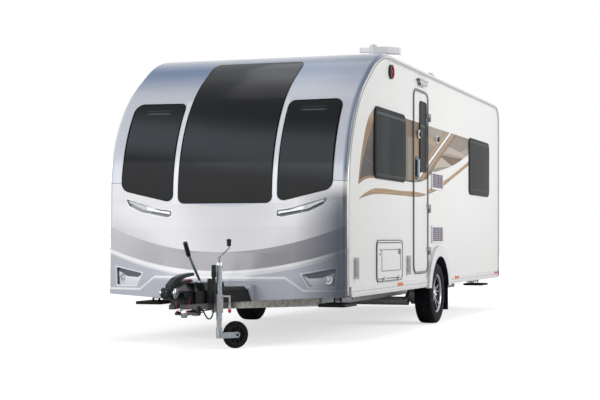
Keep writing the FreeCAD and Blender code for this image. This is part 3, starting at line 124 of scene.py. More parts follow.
# openings in the side walls as (first station, last station, foot, head, corner radius)
FRONT_WINDOW = (0.877, 1.920, 1.458, 2.070, 0.060)
KITCHEN_WINDOW = (2.700, 3.600, 1.458, 2.070, 0.060)
BED_WINDOW = (4.830, 5.950, 1.430, 2.057, 0.060)
REAR_WINDOW = (-0.640, 0.640, 1.430, 2.000, 0.070)
DOOR = (2.243, 2.844, 0.549, 2.390, 0.090)
DOOR_WINDOW = (2.511, 2.751, 1.588, 2.270, 0.030)
LOCKER = (0.960, 1.790, 0.535, 0.855, 0.030)
FOG_LAMP = (0.950, 0.551)   # across, height
FLUE = (1.410, 2.450)       # station, height
GRIPS = ((0.280, 0.550, 0.737), (2.020, 0.547, 0.733))      # grab handles: station, foot, head
VENTS = ((2.990, 3.495, 1.410, 1.595, 0.014), (2.990, 3.495, 0.848, 1.035, 0.014))
SKIRTS = ((0.140, 2.783), (3.747, 6.500))       # first and last station of each skirt
RAIL_START = (0.070, 0.424)                     # station and height of the edge rail's front end
RAIL_RUNS = ((0.832, 1.226, math.radians(56.7)), (0.200, 1.068, math.radians(33.3)),
             (5.019, 0.190, math.radians(90)), (1.950, 0, 0))
PANE_LAP = 0.014            # how far a side pane laps its opening


# ---------------------------------------------------------------- finishes
class Finish:
    """A procedural finish, built up round one shader."""

    def __init__(self, name, colour, roughness=0.5, **sockets):
        self.material = bpy.data.materials.new(name)
        self.material.use_nodes = True
        self.tree = self.material.node_tree
        self.shader = self.tree.nodes["Principled BSDF"]
        self.shader.inputs["Base Color"].default_value = (*colour, 1)
        self.shader.inputs["Roughness"].default_value = roughness
        for socket, value in sockets.items():
            self.shader.inputs[socket.replace("_", " ").title().replace("Ior", "IOR")].default_value = value
        self.colour = (*colour, 1)
        self.place = self.node("ShaderNodeTexCoord").outputs["Object"]

    def node(self, kind, *inputs, **settings_):
        """Adds a node, sets its properties and feeds its first inputs from values or sockets."""
        made = self.tree.nodes.new(kind)
        for key, value in settings_.items():
            setattr(made, key, value)
        for socket, value in zip(made.inputs, inputs):
            self.feed(socket, value)
        return made

    def feed(self, socket, value):
        if isinstance(value, bpy.types.NodeSocket):
            self.tree.links.new(value, socket)
        elif value is not None:
            if socket.type == "RGBA" and len(value) == 3:
                value = (*value, 1)
            socket.default_value = value

    def calc(self, operation, *values, clamp=False):
        return self.node("ShaderNodeMath", *values, operation=operation, use_clamp=clamp).outputs[0]

    def axes(self):
        parts = self.node("ShaderNodeSeparateXYZ", self.place).outputs
        return parts[0], parts[1], parts[2]

    def scaled(self, *scale, place=None):
        mapping = self.node("ShaderNodeMapping", place or self.place)
        mapping.inputs["Scale"].default_value = scale
        return mapping.outputs[0]

    def turned(self, angle, scale):
        """Coordinates turned about X before they are scaled."""
        turn = self.node("ShaderNodeVectorRotate", self.place, rotation_type="X_AXIS")
        turn.inputs["Angle"].default_value = angle
        return self.scaled(*scale, place=turn.outputs[0])

    def noise(self, scale, detail, place=None):
        made = self.node("ShaderNodeTexNoise", place or self.place)
        made.inputs["Scale"].default_value = scale
        made.inputs["Detail"].default_value = detail
        return made.outputs["Fac"]

    def waves(self, direction, scale, distortion=0.0, place=None):
        """Parallel ribs across one axis."""
        made = self.node("ShaderNodeTexWave", place or self.place, bands_direction=direction)
        made.inputs["Scale"].default_value = scale
        made.inputs["Distortion"].default_value = distortion
        return made.outputs["Fac"]

    def band(self, value, low, high, soft=0.002):
        """1 where value lies between low and high, with soft edges."""
        rise = self.calc("DIVIDE", self.calc("SUBTRACT", value, low), soft, clamp=True)
        fall = self.calc("DIVIDE", self.calc("SUBTRACT", high, value), soft, clamp=True)
        return self.calc("MULTIPLY", rise, fall)

    def above(self, value, edge, soft=0.002):
        return self.calc("DIVIDE", self.calc("SUBTRACT", value, edge), soft, clamp=True)

    def below(self, value, edge, soft=0.002):
        return self.calc("DIVIDE", self.calc("SUBTRACT", edge, value), soft, clamp=True)

    def product(self, *shares):
        share = shares[0]
        for other in shares[1:]:
            share = self.calc("MULTIPLY", share, other)
        return share

    def line(self, value, slope, start):
        """A straight line: start plus slope times value."""
        return self.calc("MULTIPLY_ADD", value, slope, start)

    def distance(self, a, b):
        """How far two coordinates lie from zero together."""
        return self.calc("SQRT", self.calc("ADD", self.product(a, a), self.product(b, b)))

    def ramp(self, value, from_low, from_high, to_low, to_high):
        """Turns one range of values into another, held at its ends."""
        return self.node("ShaderNodeMapRange", value, from_low, from_high, to_low, to_high).outputs[0]

    def tint(self, colour, *shares):
        """Mixes the base colour towards another by the product of the shares."""
        mix = self.node("ShaderNodeMix", data_type="RGBA")
        self.feed(mix.inputs["Factor"], self.product(*shares))
        self.feed(mix.inputs["A"], self.colour)
        self.feed(mix.inputs["B"], colour)
        self.colour = mix.outputs["Result"]
        self.feed(self.shader.inputs["Base Color"], self.colour)
        return self

    def patches(self, colour, scale, detail, low, high, amount, place=None):
        """Noise patches of another colour, which grow in between two levels of the noise."""
        return self.tint(colour, self.ramp(self.noise(scale, detail, place), low, high, 0.0, amount))

    def mottle(self, scale, amount, dark):
        """Uneven tone: drifts by up to amount towards the first colour times dark."""
        shade = self.shader.inputs["Base Color"].default_value
        return self.patches(tuple(c * dark for c in shade[:3]), scale, 4.0, 0.35, 0.75, amount)

    def roughen(self, value, from_low, from_high, low, high):
        """Roughness that follows a value between two levels."""
        self.feed(self.shader.inputs["Roughness"], self.ramp(value, from_low, from_high, low, high))
        return self

    def sheen_drift(self, scale, low, high):
        """Roughness that drifts between two values."""
        return self.roughen(self.noise(scale, 2.0), 0.3, 0.7, low, high)

    def bump(self, height, distance, strength):
        made = self.node("ShaderNodeBump")
        made.inputs["Strength"].default_value = strength
        made.inputs["Distance"].default_value = distance
        self.feed(made.inputs["Height"], height)
        self.feed(self.shader.inputs["Normal"], made.outputs[0])
        return self

    def profile(self, value, points):
        """A smooth line through (value, height) points, as a socket."""
        start, end = points[0][0], points[-1][0]
        heights = [height for _, height in points]
        low, high = min(heights), max(heights)
        spots = [((a - start) / (end - start), (b - low) / (high - low)) for a, b in points]
        curve = self.node("ShaderNodeFloatCurve")
        line = curve.mapping.curves[0]
        line.points[0].location, line.points[1].location = spots[0], spots[-1]
        for spot in spots[1:-1]:
            line.points.new(*spot)
        curve.mapping.use_clip = False
        curve.mapping.update()
        self.feed(curve.inputs["Factor"], 1.0)
        self.feed(curve.inputs["Value"], self.ramp(value, start, end, 0.0, 1.0))
        return self.ramp(curve.outputs[0], 0.0, 1.0, low, high)


def side_decor(finish, colours):
    """Tan stripes and dark fields of the side walls, laid out by station and height."""
    _, y, z = finish.axes()
    station = finish.calc("SUBTRACT", y, BODY_FRONT)
    inside = finish.product(finish.band(station, DECOR_FRONT[0][0], DECOR_FOOT[-1][0]),
                            finish.above(z, finish.profile(station, DECOR_FOOT)),
                            finish.below(z, finish.profile(station, DECOR_FRONT + DECOR_HEAD)))
    finish.tint(colours.decor_mid, inside)
    # the dark field ahead of the front window, inside a tan edge
    ahead = finish.product(inside, finish.below(station, DARK_END))
    dark = finish.product(ahead,
                          finish.below(z, finish.profile(station, DARK_FRONT)),
                          finish.above(z, finish.profile(station, DARK_FOOT)))
    finish.tint(colours.tan, ahead)
    finish.tint((0.78, 0.64, 0.48), inside, finish.below(station, 0.95), finish.above(z, 1.92, 0.15))
    finish.tint(colours.decor_dark, dark)
    finish.tint((0.16, 0.15, 0.135), dark, finish.above(z, 1.66, 0.25))
    for colour, corners in FIELDS:
        finish.tint(colour, inside, outline(finish, station, z, corners))
    # slanted bars across the decor; across is measured upwards
    across = finish.calc("SUBTRACT", z, finish.calc("MULTIPLY", station, BAR_SLOPE))
    grain = finish.noise(3.0, 4.0, finish.turned(-math.atan(BAR_SLOPE), (1, 0.25, 26)))
    behind = finish.product(inside, finish.above(station, BARS_START))
    for low, high, colour in BARS:
        finish.tint(colour, behind, finish.band(across, low, high, 0.004))
    finish.tint((0.03, 0.01, 0.0), inside, 0.34)
    finish.tint((0.82, 0.82, 0.82), behind, finish.band(across, *BAR_GAP, 0.004))
    for low, high in GRAINED:
        bar = finish.product(behind, finish.band(across, low, high, 0.02))
        finish.tint((0.66, 0.47, 0.30), bar, finish.ramp(grain, 0.35, 0.65, 0.0, 0.75))
        middle = finish.band(across, low + 0.018, high - 0.018, 0.016)
        finish.tint((0.15, 0.085, 0.04), behind, finish.band(across, low, high, 0.004),
                    finish.calc("SUBTRACT", 1.0, middle), 0.6)
    foot = finish.product(behind, finish.band(across, BARS[-1][0], 0.72), finish.below(z, 1.46, 0.16),
                          finish.below(finish.band(across, *BAR_GAP), 0.5, 0.5))
    finish.tint((0.07, 0.038, 0.018), foot, 0.9)
    # the long stripe below, in two lengths
    streak = finish.noise(4.0, 3.0, finish.scaled(1, 0.6, 60))
    for low, high in STRIPES:
        stripe = finish.product(finish.band(station, low[0][0], low[-1][0]),
                                finish.above(z, finish.profile(station, low)),
                                finish.below(z, finish.profile(station, high)))
        finish.tint(colours.tan, stripe)
        finish.tint((0.17, 0.10, 0.05), stripe, finish.ramp(streak, 0.42, 0.7, 0.0, 0.55))
        finish.tint((0.66, 0.51, 0.37), stripe, finish.ramp(streak, 0.5, 0.3, 0.0, 0.5))
        under = finish.below(z, finish.calc("ADD", finish.profile(station, low), 0.014), 0.010)
        finish.tint((0.16, 0.095, 0.045), stripe, under, 0.75)
    # dark shadow line under the decor, from the front window to the entrance door
    line = finish.product(inside, finish.band(station, *SHADOW_LINE, 0.03),
                          finish.below(z, finish.calc("ADD", finish.profile(station, DECOR_FOOT), 0.020),
                                       0.006))
    finish.tint((0.025, 0.020, 0.016), line, 0.9)
    return finish


def outline(finish, station, height, corners, soft=0.006):
    """1 inside a convex outline of (station, height) corners that run anticlockwise."""
    share = 1.0
    for (a, b), (c, d) in zip(corners, corners[1:] + corners[:1]):
        run, rise = c - a, d - b
        length = math.hypot(run, rise) * soft
        left = finish.calc("MULTIPLY_ADD", height, run / length, (rise * a - run * b) / length)
        left = finish.calc("MULTIPLY_ADD", station, -rise / length, left, clamp=True)
        share = finish.product(share, left)
    return share


# side decor, as (station, height)
DECOR_FRONT = ((0.378, 1.363), (0.405, 1.46), (0.472, 1.633), (0.545, 1.77), (0.635, 1.902), (0.76, 2.01))
DECOR_HEAD = ((0.903, 2.064), (1.20, 2.064), (4.84, 2.060))
DECOR_FOOT = ((0.378, 1.362), (0.50, 1.396), (0.635, 1.423), (0.80, 1.437), (0.946, 1.440), (1.843, 1.452),
              (2.20, 1.453), (2.466, 1.466), (2.811, 1.510), (3.008, 1.575), (3.30, 1.612), (3.949, 1.699),
              (4.84, 1.885))
DARK_FRONT = ((0.378, 1.30), (0.405, 1.375), (0.475, 1.515), (0.566, 1.647), (0.70, 1.80), (0.874, 1.960),
              (1.00, 2.02))
DARK_FOOT = ((0.378, 1.384), (0.635, 1.447), (0.80, 1.456), (1.00, 1.458))
FIELDS = (
    ((0.30, 0.29, 0.27), ((0.553, 1.634), (0.862, 1.540), (0.862, 1.552), (0.553, 1.644))),
    ((0.22, 0.145, 0.088), ((1.90, 1.894), (3.30, 1.894), (3.30, 2.10), (1.90, 2.10))),
    ((0.35, 0.29, 0.23), ((1.90, 1.40), (2.24, 1.40), (2.24, 1.894), (1.90, 1.894))),
    ((0.20, 0.19, 0.165), ((1.90, 1.40), (2.06, 1.40), (2.06, 1.894), (1.90, 1.894))),
    ((0.42, 0.30, 0.185), ((2.24, 1.40), (2.86, 1.40), (2.86, 1.955), (2.24, 1.94))),
    ((0.45, 0.40, 0.35), ((2.86, 1.975), (3.30, 1.925), (3.70, 2.10), (2.86, 2.10))),
    ((0.55, 0.42, 0.30), ((2.86, 1.88), (3.15, 1.86), (3.30, 1.925), (2.86, 1.975))),
    ((0.33, 0.30, 0.26), ((2.86, 1.76), (3.15, 1.86), (2.86, 1.885))),
    ((0.33, 0.28, 0.235), ((3.50, 1.80), (4.84, 1.86), (4.84, 2.032), (3.60, 2.032))),
    ((0.52, 0.46, 0.40), ((4.30, 1.87), (4.84, 1.86), (4.84, 1.955))),
    ((0.66, 0.55, 0.42), ((3.50, 1.790), (4.62, 1.800), (4.66, 1.860), (3.879, 1.898), (3.60, 1.91))),
    ((0.82, 0.80, 0.72), ((3.879, 1.886), (4.66, 1.852), (4.66, 1.860), (3.879, 1.898))),
    ((0.42, 0.37, 0.30), ((3.50, 1.790), (4.62, 1.800), (4.45, 1.826), (3.70, 1.832))),
    ((0.17, 0.092, 0.045), ((3.471, 1.768), (3.949, 1.690), (4.50, 1.80), (4.43, 1.808), (3.497, 1.796))),
    ((0.68, 0.61, 0.47), ((3.00, 1.55), (3.949, 1.690), (3.949, 1.704), (3.471, 1.768), (3.30, 1.75))),
    ((0.36, 0.33, 0.28), ((3.00, 1.55), (3.949, 1.699), (3.30, 1.655), (3.10, 1.63))),
)
DARK_END = 1.0              # station where the dark field ends
BARS_START = 1.98           # station where the slanted bars start
SHADOW_LINE = (1.70, 2.62)  # first and last station of the shadow line under the decor
BAR_SLOPE = 0.39
BAR_GAP = (0.526, 0.565)
BARS = ((0.565, 0.645, (0.48, 0.32, 0.18)), (0.440, 0.526, (0.45, 0.29, 0.16)),
        (0.424, 0.440, (0.06, 0.042, 0.032)))
GRAINED = ((0.572, 0.640), (0.448, 0.520))
STRIPES = (
    (((0.392, 1.234), (0.635, 1.272), (1.004, 1.301), (1.712, 1.310), (2.386, 1.315), (2.787, 1.349)),
     ((0.392, 1.237), (0.635, 1.306), (1.004, 1.354), (1.712, 1.356), (2.386, 1.364), (2.787, 1.352))),
    (((2.835, 1.349), (3.21, 1.402), (3.537, 1.462), (4.10, 1.588), (4.84, 1.755)),
     ((2.835, 1.386), (2.983, 1.421), (3.537, 1.512), (4.10, 1.632), (4.84, 1.803))),
)


def finish_side(colours):
    """Smooth painted skin with its printed decor."""
    finish = Finish("side_skin", colours.side, 0.34, specular_ior_level=0.12)
    finish.patches((0.745, 0.755, 0.76), 0.5, 1.0, 0.3, 0.7, 0.35)
    warm = finish.product(finish.below(finish.axes()[1], st(0.9), 1.6), 0.55)
    finish.tint((0.78, 0.75, 0.695), warm)
    side_decor(finish, colours)
    arch_shade(finish)
    # the cabin side of the skin carries no decor
    inside = finish.below(finish.calc("ABSOLUTE", finish.axes()[0]), WALL_OUT - 0.008, 0.002)
    finish.tint((0.60, 0.575, 0.53), inside, finish.below(arch_inner(finish), 0.5, 0.5))
    return finish.sheen_drift(1.2, 0.30, 0.38).material


def arch_inner(finish):
    """1 on the inner edges of the wheel arches, which lie round the axle."""
    low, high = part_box("tyre_near")
    _, y, z = finish.axes()
    back = finish.calc("SUBTRACT", y, (low.y + high.y) / 2)
    up = finish.calc("SUBTRACT", z, (low.z + high.z) / 2)
    return finish.below(finish.distance(back, up), ARCH_EDGE)


def arch_shade(finish):
    """Painted shade: black inside the wheel arches."""
    return finish.tint((0.012, 0.013, 0.016), arch_inner(finish))


def finish_arch():
    """White arch trim with painted shade on its inner face."""
    finish = Finish("arch_plastic", (0.74, 0.74, 0.75), 0.35, specular_ior_level=0.2)
    finish.mottle(5.0, 0.25, 0.9)
    arch_shade(finish)
    return finish.sheen_drift(14.0, 0.30, 0.40).material


def finish_plain(name, colour, roughness, grain=90.0, depth=0.0003, **sockets):
    """Moulded plastic or paint with a fine grain and slightly uneven tone."""
    sockets.setdefault("specular_ior_level", 0.2 if max(colour) < 0.05 else 0.4)
    finish = Finish(name, colour, roughness, **sockets)
    finish.mottle(5.0, 0.25, 0.86)
    finish.sheen_drift(14.0, roughness * 0.85, roughness * 1.15)
    return finish.bump(finish.noise(grain, 3.0), depth, 0.35).material


# how deep the painted blue reflection on the moulding's shoulder is, by height
SHOULDER_REFLECTION = ((2.08, 0.0), (2.18, 0.08), (2.30, 0.50), (2.42, 0.92), (2.49, 1.0), (2.56, 0.7), (2.62, 0.3))
ARCH_EDGE = 0.3915          # radius about the axle that takes in the arches' inner edges
LEGS_DARK_BACK = -0.26         # station back to which the drawbar legs are dark
AMBER_FIELD = (0.98, 1.09)  # foot and head of a rear lamp's fields
CLEAR_FIELD = (0.70, 0.78)
SEAM_HEIGHT = 1.386         # where the upper and lower front mouldings meet
CORNER_SHADE = (0.045, 0.095, 0.20)      # painted shade and dark reflection of the upper moulding as it turns to the side
# lines across the front, as (rise with the square of the distance across, height in the middle)
LOWER_TOP = (0.235, 1.185)
BAND_HEAD = (0.187, 0.783)
BAND_FOOT = (0.160, 0.622)
BEAD_FOOT = (0.165, 0.580)
APRON_TOP = (0.165, 0.575)
# parts of the lamp recesses, as (across, height): rims that carry painted highlights, and floors, wedges,
# sides and slots that carry painted shade
FOG_RIM = ((0.716, 0.606), (0.792, 0.478), (1.016, 0.478), (1.031, 0.664))
SLOT_RIM_INNER = ((0.480, 1.083), (0.532, 1.071), (0.700, 1.101), (0.700, 1.184), (0.588, 1.165),
                  (0.478, 1.150))
SLOT_RIM_OUTER = ((0.700, 1.101), (0.775, 1.115), (0.910, 1.176), (0.948, 1.261), (0.700, 1.184))
FOG_FLOOR = ((0.731, 0.597), (0.800, 0.490), (1.005, 0.490), (1.018, 0.650))
FOG_WEDGE = ((0.733, 0.594), (0.790, 0.560), (0.900, 0.566), (1.004, 0.612), (1.017, 0.649))
FOG_SIDE = ((0.994, 0.494), (1.008, 0.494), (1.018, 0.648), (1.000, 0.640))
SLOT_INNER = ((0.490, 1.092), (0.530, 1.082), (0.700, 1.113), (0.700, 1.171), (0.590, 1.152), (0.488, 1.139))
SLOT_OUTER = ((0.700, 1.113), (0.770, 1.126), (0.900, 1.184), (0.936, 1.246), (0.700, 1.171))


def finish_moulding(colours):
    """Silver upper moulding with a painted blue reflection on its shoulder, gloss white below its seam, with
    a grey band; painted highlights, painted shade and painted dark reflections lie on its bead, fold, rims,
    recesses and turned corners.
    """
    finish = Finish("front_moulding", colours.silver, 0.26, coat_weight=0.12, coat_roughness=0.1)
    x, y, z = finish.axes()
    reach = finish.product(x, x)
    front = finish.below(y, st(1.30), 0.5)
    # painted reflection: blue across the shoulder, set by height
    finish.tint(colours.shoulder, front, finish.profile(z, SHOULDER_REFLECTION), 0.95)
    lower = finish.product(front, finish.below(z, SEAM_HEIGHT, 0.002),
                           finish.below(z, finish.line(reach, *LOWER_TOP), 0.02))
    finish.tint(colours.moulding, lower)
    # painted shade: the white darkens towards the off side
    finish.tint((0.42, 0.42, 0.43), lower, finish.ramp(x, -1.0, -0.35, 0.30, 0.0))
    low = finish.line(reach, *BAND_FOOT)
    high = finish.line(reach, *BAND_HEAD)
    fade = finish.ramp(x, -1.0, -0.30, 0.25, 1.0)
    finish.tint(colours.band, front, fade, finish.above(z, low), finish.below(z, high))
    apron = finish.product(front, finish.below(z, finish.line(reach, *APRON_TOP), 0.01))
    finish.tint(colours.apron, apron, 0.8)
    across = finish.calc("ABSOLUTE", x)
    # painted highlights: the bead above the apron is brightened, and so are the edges of the apron's fold
    bead = finish.product(front, finish.above(z, finish.line(reach, *BEAD_FOOT), 0.006),
                          finish.below(z, low, 0.006))
    finish.tint((0.90, 0.90, 0.91), bead)
    fold = finish.calc("SUBTRACT", z, finish.ramp(across, 0.600, 0.750, 0.560, 0.452))
    finish.tint((0.90, 0.90, 0.92), front, 0.9, finish.band(fold, -0.004, 0.020, 0.006))
    # painted highlights on the rims, then painted shade on the floors of the fog lamp recesses and lamp slots
    for corners in (FOG_RIM, SLOT_RIM_INNER, SLOT_RIM_OUTER):
        finish.tint((0.88, 0.88, 0.90), front, 0.8, outline(finish, across, z, corners, 0.004))
    recess = finish.product(finish.below(z, 0.56, 0.10), outline(finish, across, z, FOG_FLOOR, 0.004))
    finish.tint((0.62, 0.63, 0.68), front, recess)
    for corners, colour in ((FOG_WEDGE, (0.09, 0.10, 0.13)), (FOG_SIDE, (0.10, 0.11, 0.15)),
                            (SLOT_INNER, (0.045, 0.055, 0.075)), (SLOT_OUTER, (0.10, 0.13, 0.19))):
        finish.tint(colour, front, outline(finish, across, z, corners, 0.003))
    # painted highlights as pale strips beside the centre pane, and painted shade and dark reflection on the
    # turn beside the entrance side
    strips = finish.product(front, finish.band(across, 0.430, 0.490, 0.01), finish.band(z, 1.19, 2.15, 0.05))
    finish.tint((0.78, 0.80, 0.84), strips, 0.9)
    turn = finish.ramp(x, 0.66, 1.03, 0.0, 0.93)
    finish.tint((0.045, 0.060, 0.090), front, turn, finish.below(z, 1.36, 0.12))
    finish.tint(CORNER_SHADE, front, turn, 0.92, finish.above(z, 2.12, 0.30))
    # painted shade and dark reflection along the entrance side's front edge
    edge = finish.ramp(x, 1.055, 1.09, 0.0, 0.90)
    finish.tint(CORNER_SHADE, front, edge, finish.above(z, 1.36, 0.12))
    seam = finish.product(front, finish.above(across, 0.985, 0.004),
                          finish.band(z, SEAM_HEIGHT - 0.004, SEAM_HEIGHT + 0.003, 0.001))
    finish.tint((0.10, 0.10, 0.11), seam, 0.85)
    return finish.sheen_drift(3.0, 0.20, 0.28).material


# broad soft reflections of the front panes, as (height, grey)
PANE_GREYS = ((1.15, 0.008), (1.30, 0.010), (1.45, 0.013), (1.72, 0.060), (1.90, 0.034), (2.06, 0.017),
              (2.22, 0.020), (2.36, 0.045), (2.48, 0.062), (2.52, 0.050))
BLIND_STRIPS = ((2.000, 2.022), (2.034, 2.044))     # foot and head of each strip of the corner panes' blinds
PANE_GAP = (0.424, 0.496)   # edges of the black band where the front panes meet, across
PANE_SPLIT = 0.45           # between the centre pane and the corner panes, across
CORNER_FOOT = (0.226, 1.098)            # rise and start of a corner pane's lower edge


def finish_glazing(colours):
    """Dark tinted acrylic of the front, with black borders and broad, soft reflections."""
    finish = Finish("tinted_acrylic", colours.glazing, 0.12, specular_ior_level=0.06)
    x, _, z = finish.axes()
    across = finish.calc("ABSOLUTE", x)
    level = finish.line(x, 0.10, z)
    level = finish.line(finish.noise(0.8, 1.0), 0.10, level)
    grey = finish.profile(finish.calc("SUBTRACT", level, 0.05), PANE_GREYS)
    tone = finish.node("ShaderNodeCombineColor", grey, finish.product(grey, 1.06), finish.product(grey, 1.2))
    finish.tint(tone.outputs[0], 1.0)
    # blinds behind the corner panes
    for low, high in BLIND_STRIPS:
        strip = finish.product(finish.band(across, 0.60, 0.86, 0.05), finish.band(z, low, high, 0.006))
        finish.tint((0.13, 0.14, 0.15), strip, 0.55)
    # black borders of the centre pane and the corner panes
    foot = finish.calc("ADD", finish.line(across, *CORNER_FOOT), 0.016)
    centre, corner = finish.below(across, PANE_SPLIT), finish.above(across, PANE_SPLIT)
    for border in (finish.band(across, *PANE_GAP, 0.004), finish.above(across, 0.966, 0.004),
                   finish.product(corner, finish.above(z, 2.094, 0.004)),
                   finish.product(corner, finish.below(z, foot, 0.004)),
                   finish.product(centre, finish.below(z, 1.214, 0.004))):
        finish.tint((0.004, 0.004, 0.005), border)
    return finish.sheen_drift(5.0, 0.08, 0.16).material


def finish_cabin_glazing(colours):
    """Grey acrylic of the side and rear windows: dark border, pale blind strip, soft gloss."""
    finish = Finish("grey_acrylic", colours.cabin_glazing, 0.14, specular_ior_level=0.008)
    _, y, z = finish.axes()
    station = finish.calc("SUBTRACT", y, BODY_FRONT)
    finish.patches((0.042, 0.049, 0.050), 1.6, 1.0, 0.35, 0.65, 0.8, finish.scaled(1, 1.6, 0.5))
    finish.tint((0.10, 0.13, 0.14), finish.band(z, 2.02, 2.05, 0.008), 0.8)
    finish.tint((0.09, 0.085, 0.075), finish.band(z, 1.462, 1.490, 0.006), 0.6)
    for start, *_ in (FRONT_WINDOW, BED_WINDOW, KITCHEN_WINDOW):
        finish.tint((0.004, 0.006, 0.009), finish.band(station, start - 0.02, start + 0.045, 0.01))
    finish.tint((0.006, 0.007, 0.008), finish.above(station, BED_WINDOW[0] - 0.1), 0.55)
    return finish.sheen_drift(4.0, 0.10, 0.2).material


def finish_door_fittings():
    """Dark blue door handle, and grey hinge halves behind it."""
    finish = Finish("door_fittings", (0.012, 0.022, 0.045), 0.35, coat_weight=0.3)
    finish.tint((0.42, 0.43, 0.45), finish.above(finish.axes()[1], st(2.75)))
    finish.mottle(5.0, 0.25, 0.86)
    return finish.sheen_drift(14.0, 0.30, 0.40).material


def finish_galvanised():
    """Hot-dip galvanised steel with its spangle."""
    finish = Finish("galvanised", (0.46, 0.47, 0.48), 0.45, metallic=0.35)
    spangle = finish.node("ShaderNodeTexVoronoi", finish.place)
    spangle.inputs["Scale"].default_value = 70.0
    grey = finish.node("ShaderNodeRGBToBW", spangle.outputs["Color"]).outputs[0]
    finish.tint((0.33, 0.34, 0.35), finish.ramp(grey, 0.2, 0.9, 0.0, 0.55))
    finish.patches((0.60, 0.60, 0.58), 9.0, 5.0, 0.5, 0.8, 0.4)
    return finish.roughen(grey, 0.0, 1.0, 0.32, 0.55).bump(grey, 0.0002, 0.3).material


def finish_legs():
    """Drawbar steel: dark ahead of a station 0.26 m in front of the body, stained galvanising behind it, with
    a pale base colour that is painted light against the shade under the body.
    """
    # painted light: the pale base colour lifts the legs out of the shade under the body
    finish = Finish("stained_galvanised", (0.80, 0.77, 0.70), 0.5)
    finish.patches((0.42, 0.39, 0.34), 28.0, 6.0, 0.42, 0.62, 0.8)
    finish.patches((0.90, 0.87, 0.80), 60.0, 3.0, 0.55, 0.75, 0.7)
    # darker ahead of a station in front of the body
    ahead = finish.below(finish.axes()[1], st(LEGS_DARK_BACK), 0.12)
    finish.tint((0.022, 0.024, 0.028), ahead, 0.94)
    finish.roughen(finish.noise(30.0, 3.0), 0.3, 0.7, 0.4, 0.6)
    return finish.bump(finish.noise(80.0, 3.0), 0.0003, 0.3).material


def finish_rubber():
    finish = Finish("tyre_rubber", (0.006, 0.007, 0.009), 0.7, specular_ior_level=0.15)
    finish.patches((0.017, 0.017, 0.018), 24.0, 5.0, 0.45, 0.8, 0.5)
    finish.sheen_drift(30.0, 0.62, 0.85)
    return finish.bump(finish.noise(260.0, 2.0), 0.0004, 0.3).material


def finish_chrome(name, colour=(0.70, 0.71, 0.73)):
    finish = Finish(name, colour, 0.14, metallic=1.0)
    finish.mottle(30.0, 0.25, 0.7)
    return finish.sheen_drift(50.0, 0.10, 0.24).material


def finish_alloy():
    """Machined and lacquered wheel alloy, with faint turning marks about the axle."""
    finish = Finish("machined_alloy", (0.40, 0.41, 0.44), 0.24, metallic=0.9, coat_weight=0.15,
                    coat_roughness=0.06)
    finish.mottle(18.0, 0.3, 0.75)
    finish.sheen_drift(40.0, 0.14, 0.3)
    return finish.bump(finish.noise(140.0, 2.0), 0.0001, 0.3).material


def finish_markers():
    """Ribbed amber lens over a bright reflector."""
    amber = (0.90, 0.17, 0.0)
    finish = Finish("amber_lens", amber, 0.2, coat_weight=0.15, coat_roughness=0.05, specular_ior_level=0.1)
    ribs = finish.waves("Z", 500.0 / 6)
    finish.tint(tuple(c * 0.6 for c in amber), ribs, 0.35)
    return finish.bump(ribs, 0.001, 0.4).material


def finish_rear_lamps():
    """Red cluster with an amber field above and a clear one below."""
    finish = Finish("red_lens", (0.45, 0.012, 0.015), 0.12, coat_weight=0.8, coat_roughness=0.04)
    z = finish.axes()[2]
    finish.tint((0.80, 0.25, 0.01), finish.band(z, *AMBER_FIELD))
    finish.tint((0.62, 0.64, 0.66), finish.band(z, *CLEAR_FIELD))
    for height in CLEAR_FIELD + AMBER_FIELD:
        finish.tint((0.10, 0.004, 0.005), finish.band(z, height - 0.003, height + 0.003, 0.001))
    return finish.bump(finish.waves("Z", 30.0), 0.001, 0.4).material


def finish_front_lamps():
    """Segmented strip lamps, round fog lamps and the grey awning lamp."""
    finish = Finish("clear_lens", (0.80, 0.82, 0.85), 0.12, coat_weight=0.8, coat_roughness=0.04)
    x, y, z = finish.axes()
    across = finish.calc("ABSOLUTE", x)
    ribs = finish.calc("FRACT", finish.calc("MULTIPLY", across, 24.0))
    strip = finish.above(z, 1.0)
    finish.tint((0.20, 0.23, 0.28), strip, finish.below(ribs, 0.14, 0.05), 0.4)
    finish.tint((0.15, 0.16, 0.18), strip, finish.above(across, 0.715, 0.02), 0.82)
    fog = finish.below(z, 0.8)
    from_lamp = finish.calc("SUBTRACT", across, FOG_LAMP[0])
    height = finish.calc("SUBTRACT", z, FOG_LAMP[1])
    radius = finish.distance(from_lamp, height)
    finish.tint((0.16, 0.17, 0.20), fog, finish.above(radius, 0.031, 0.002))
    finish.tint((0.25, 0.26, 0.30), fog, finish.band(radius, 0.020, 0.024, 0.001))
    finish.tint((0.10, 0.10, 0.12), fog, finish.below(radius, 0.008, 0.002))
    awning = finish.above(y, st(2.0))
    finish.tint((0.13, 0.15, 0.18), awning)
    finish.tint((0.05, 0.07, 0.12), awning, finish.below(y, st(DOOR[0] + 0.170), 0.03))
    finish.tint((0.42, 0.42, 0.43), awning, finish.band(z, 2.455, 2.475, 0.006))
    return finish.bump(finish.waves("X", 60.0), 0.0006, 0.3).material


def finish_ply():
    """Dark board below the floor, oak planks on its upper face."""
    finish = Finish("underfloor_board", (0.035, 0.033, 0.03), 0.7)
    finish.patches((0.10, 0.085, 0.07), 3.0, 6.0, 0.4, 0.8, 0.6, finish.scaled(1, 14, 1))
    planks = finish.waves("X", 5.0, 1.5, finish.scaled(1, 0.2, 1))
    oak = finish.above(finish.axes()[2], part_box("floor")[1].z - 0.003)
    finish.tint((0.36, 0.27, 0.18), oak)
    finish.tint((0.20, 0.14, 0.09), oak, finish.product(planks, 0.4))
    return finish.bump(finish.noise(60.0, 4.0), 0.0006, 0.4).material


def dress(material, *nodes):
    """Gives CAD nodes a finish."""
    for name in nodes:
        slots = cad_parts[name].data.materials
        slots.clear()
        slots.append(material)


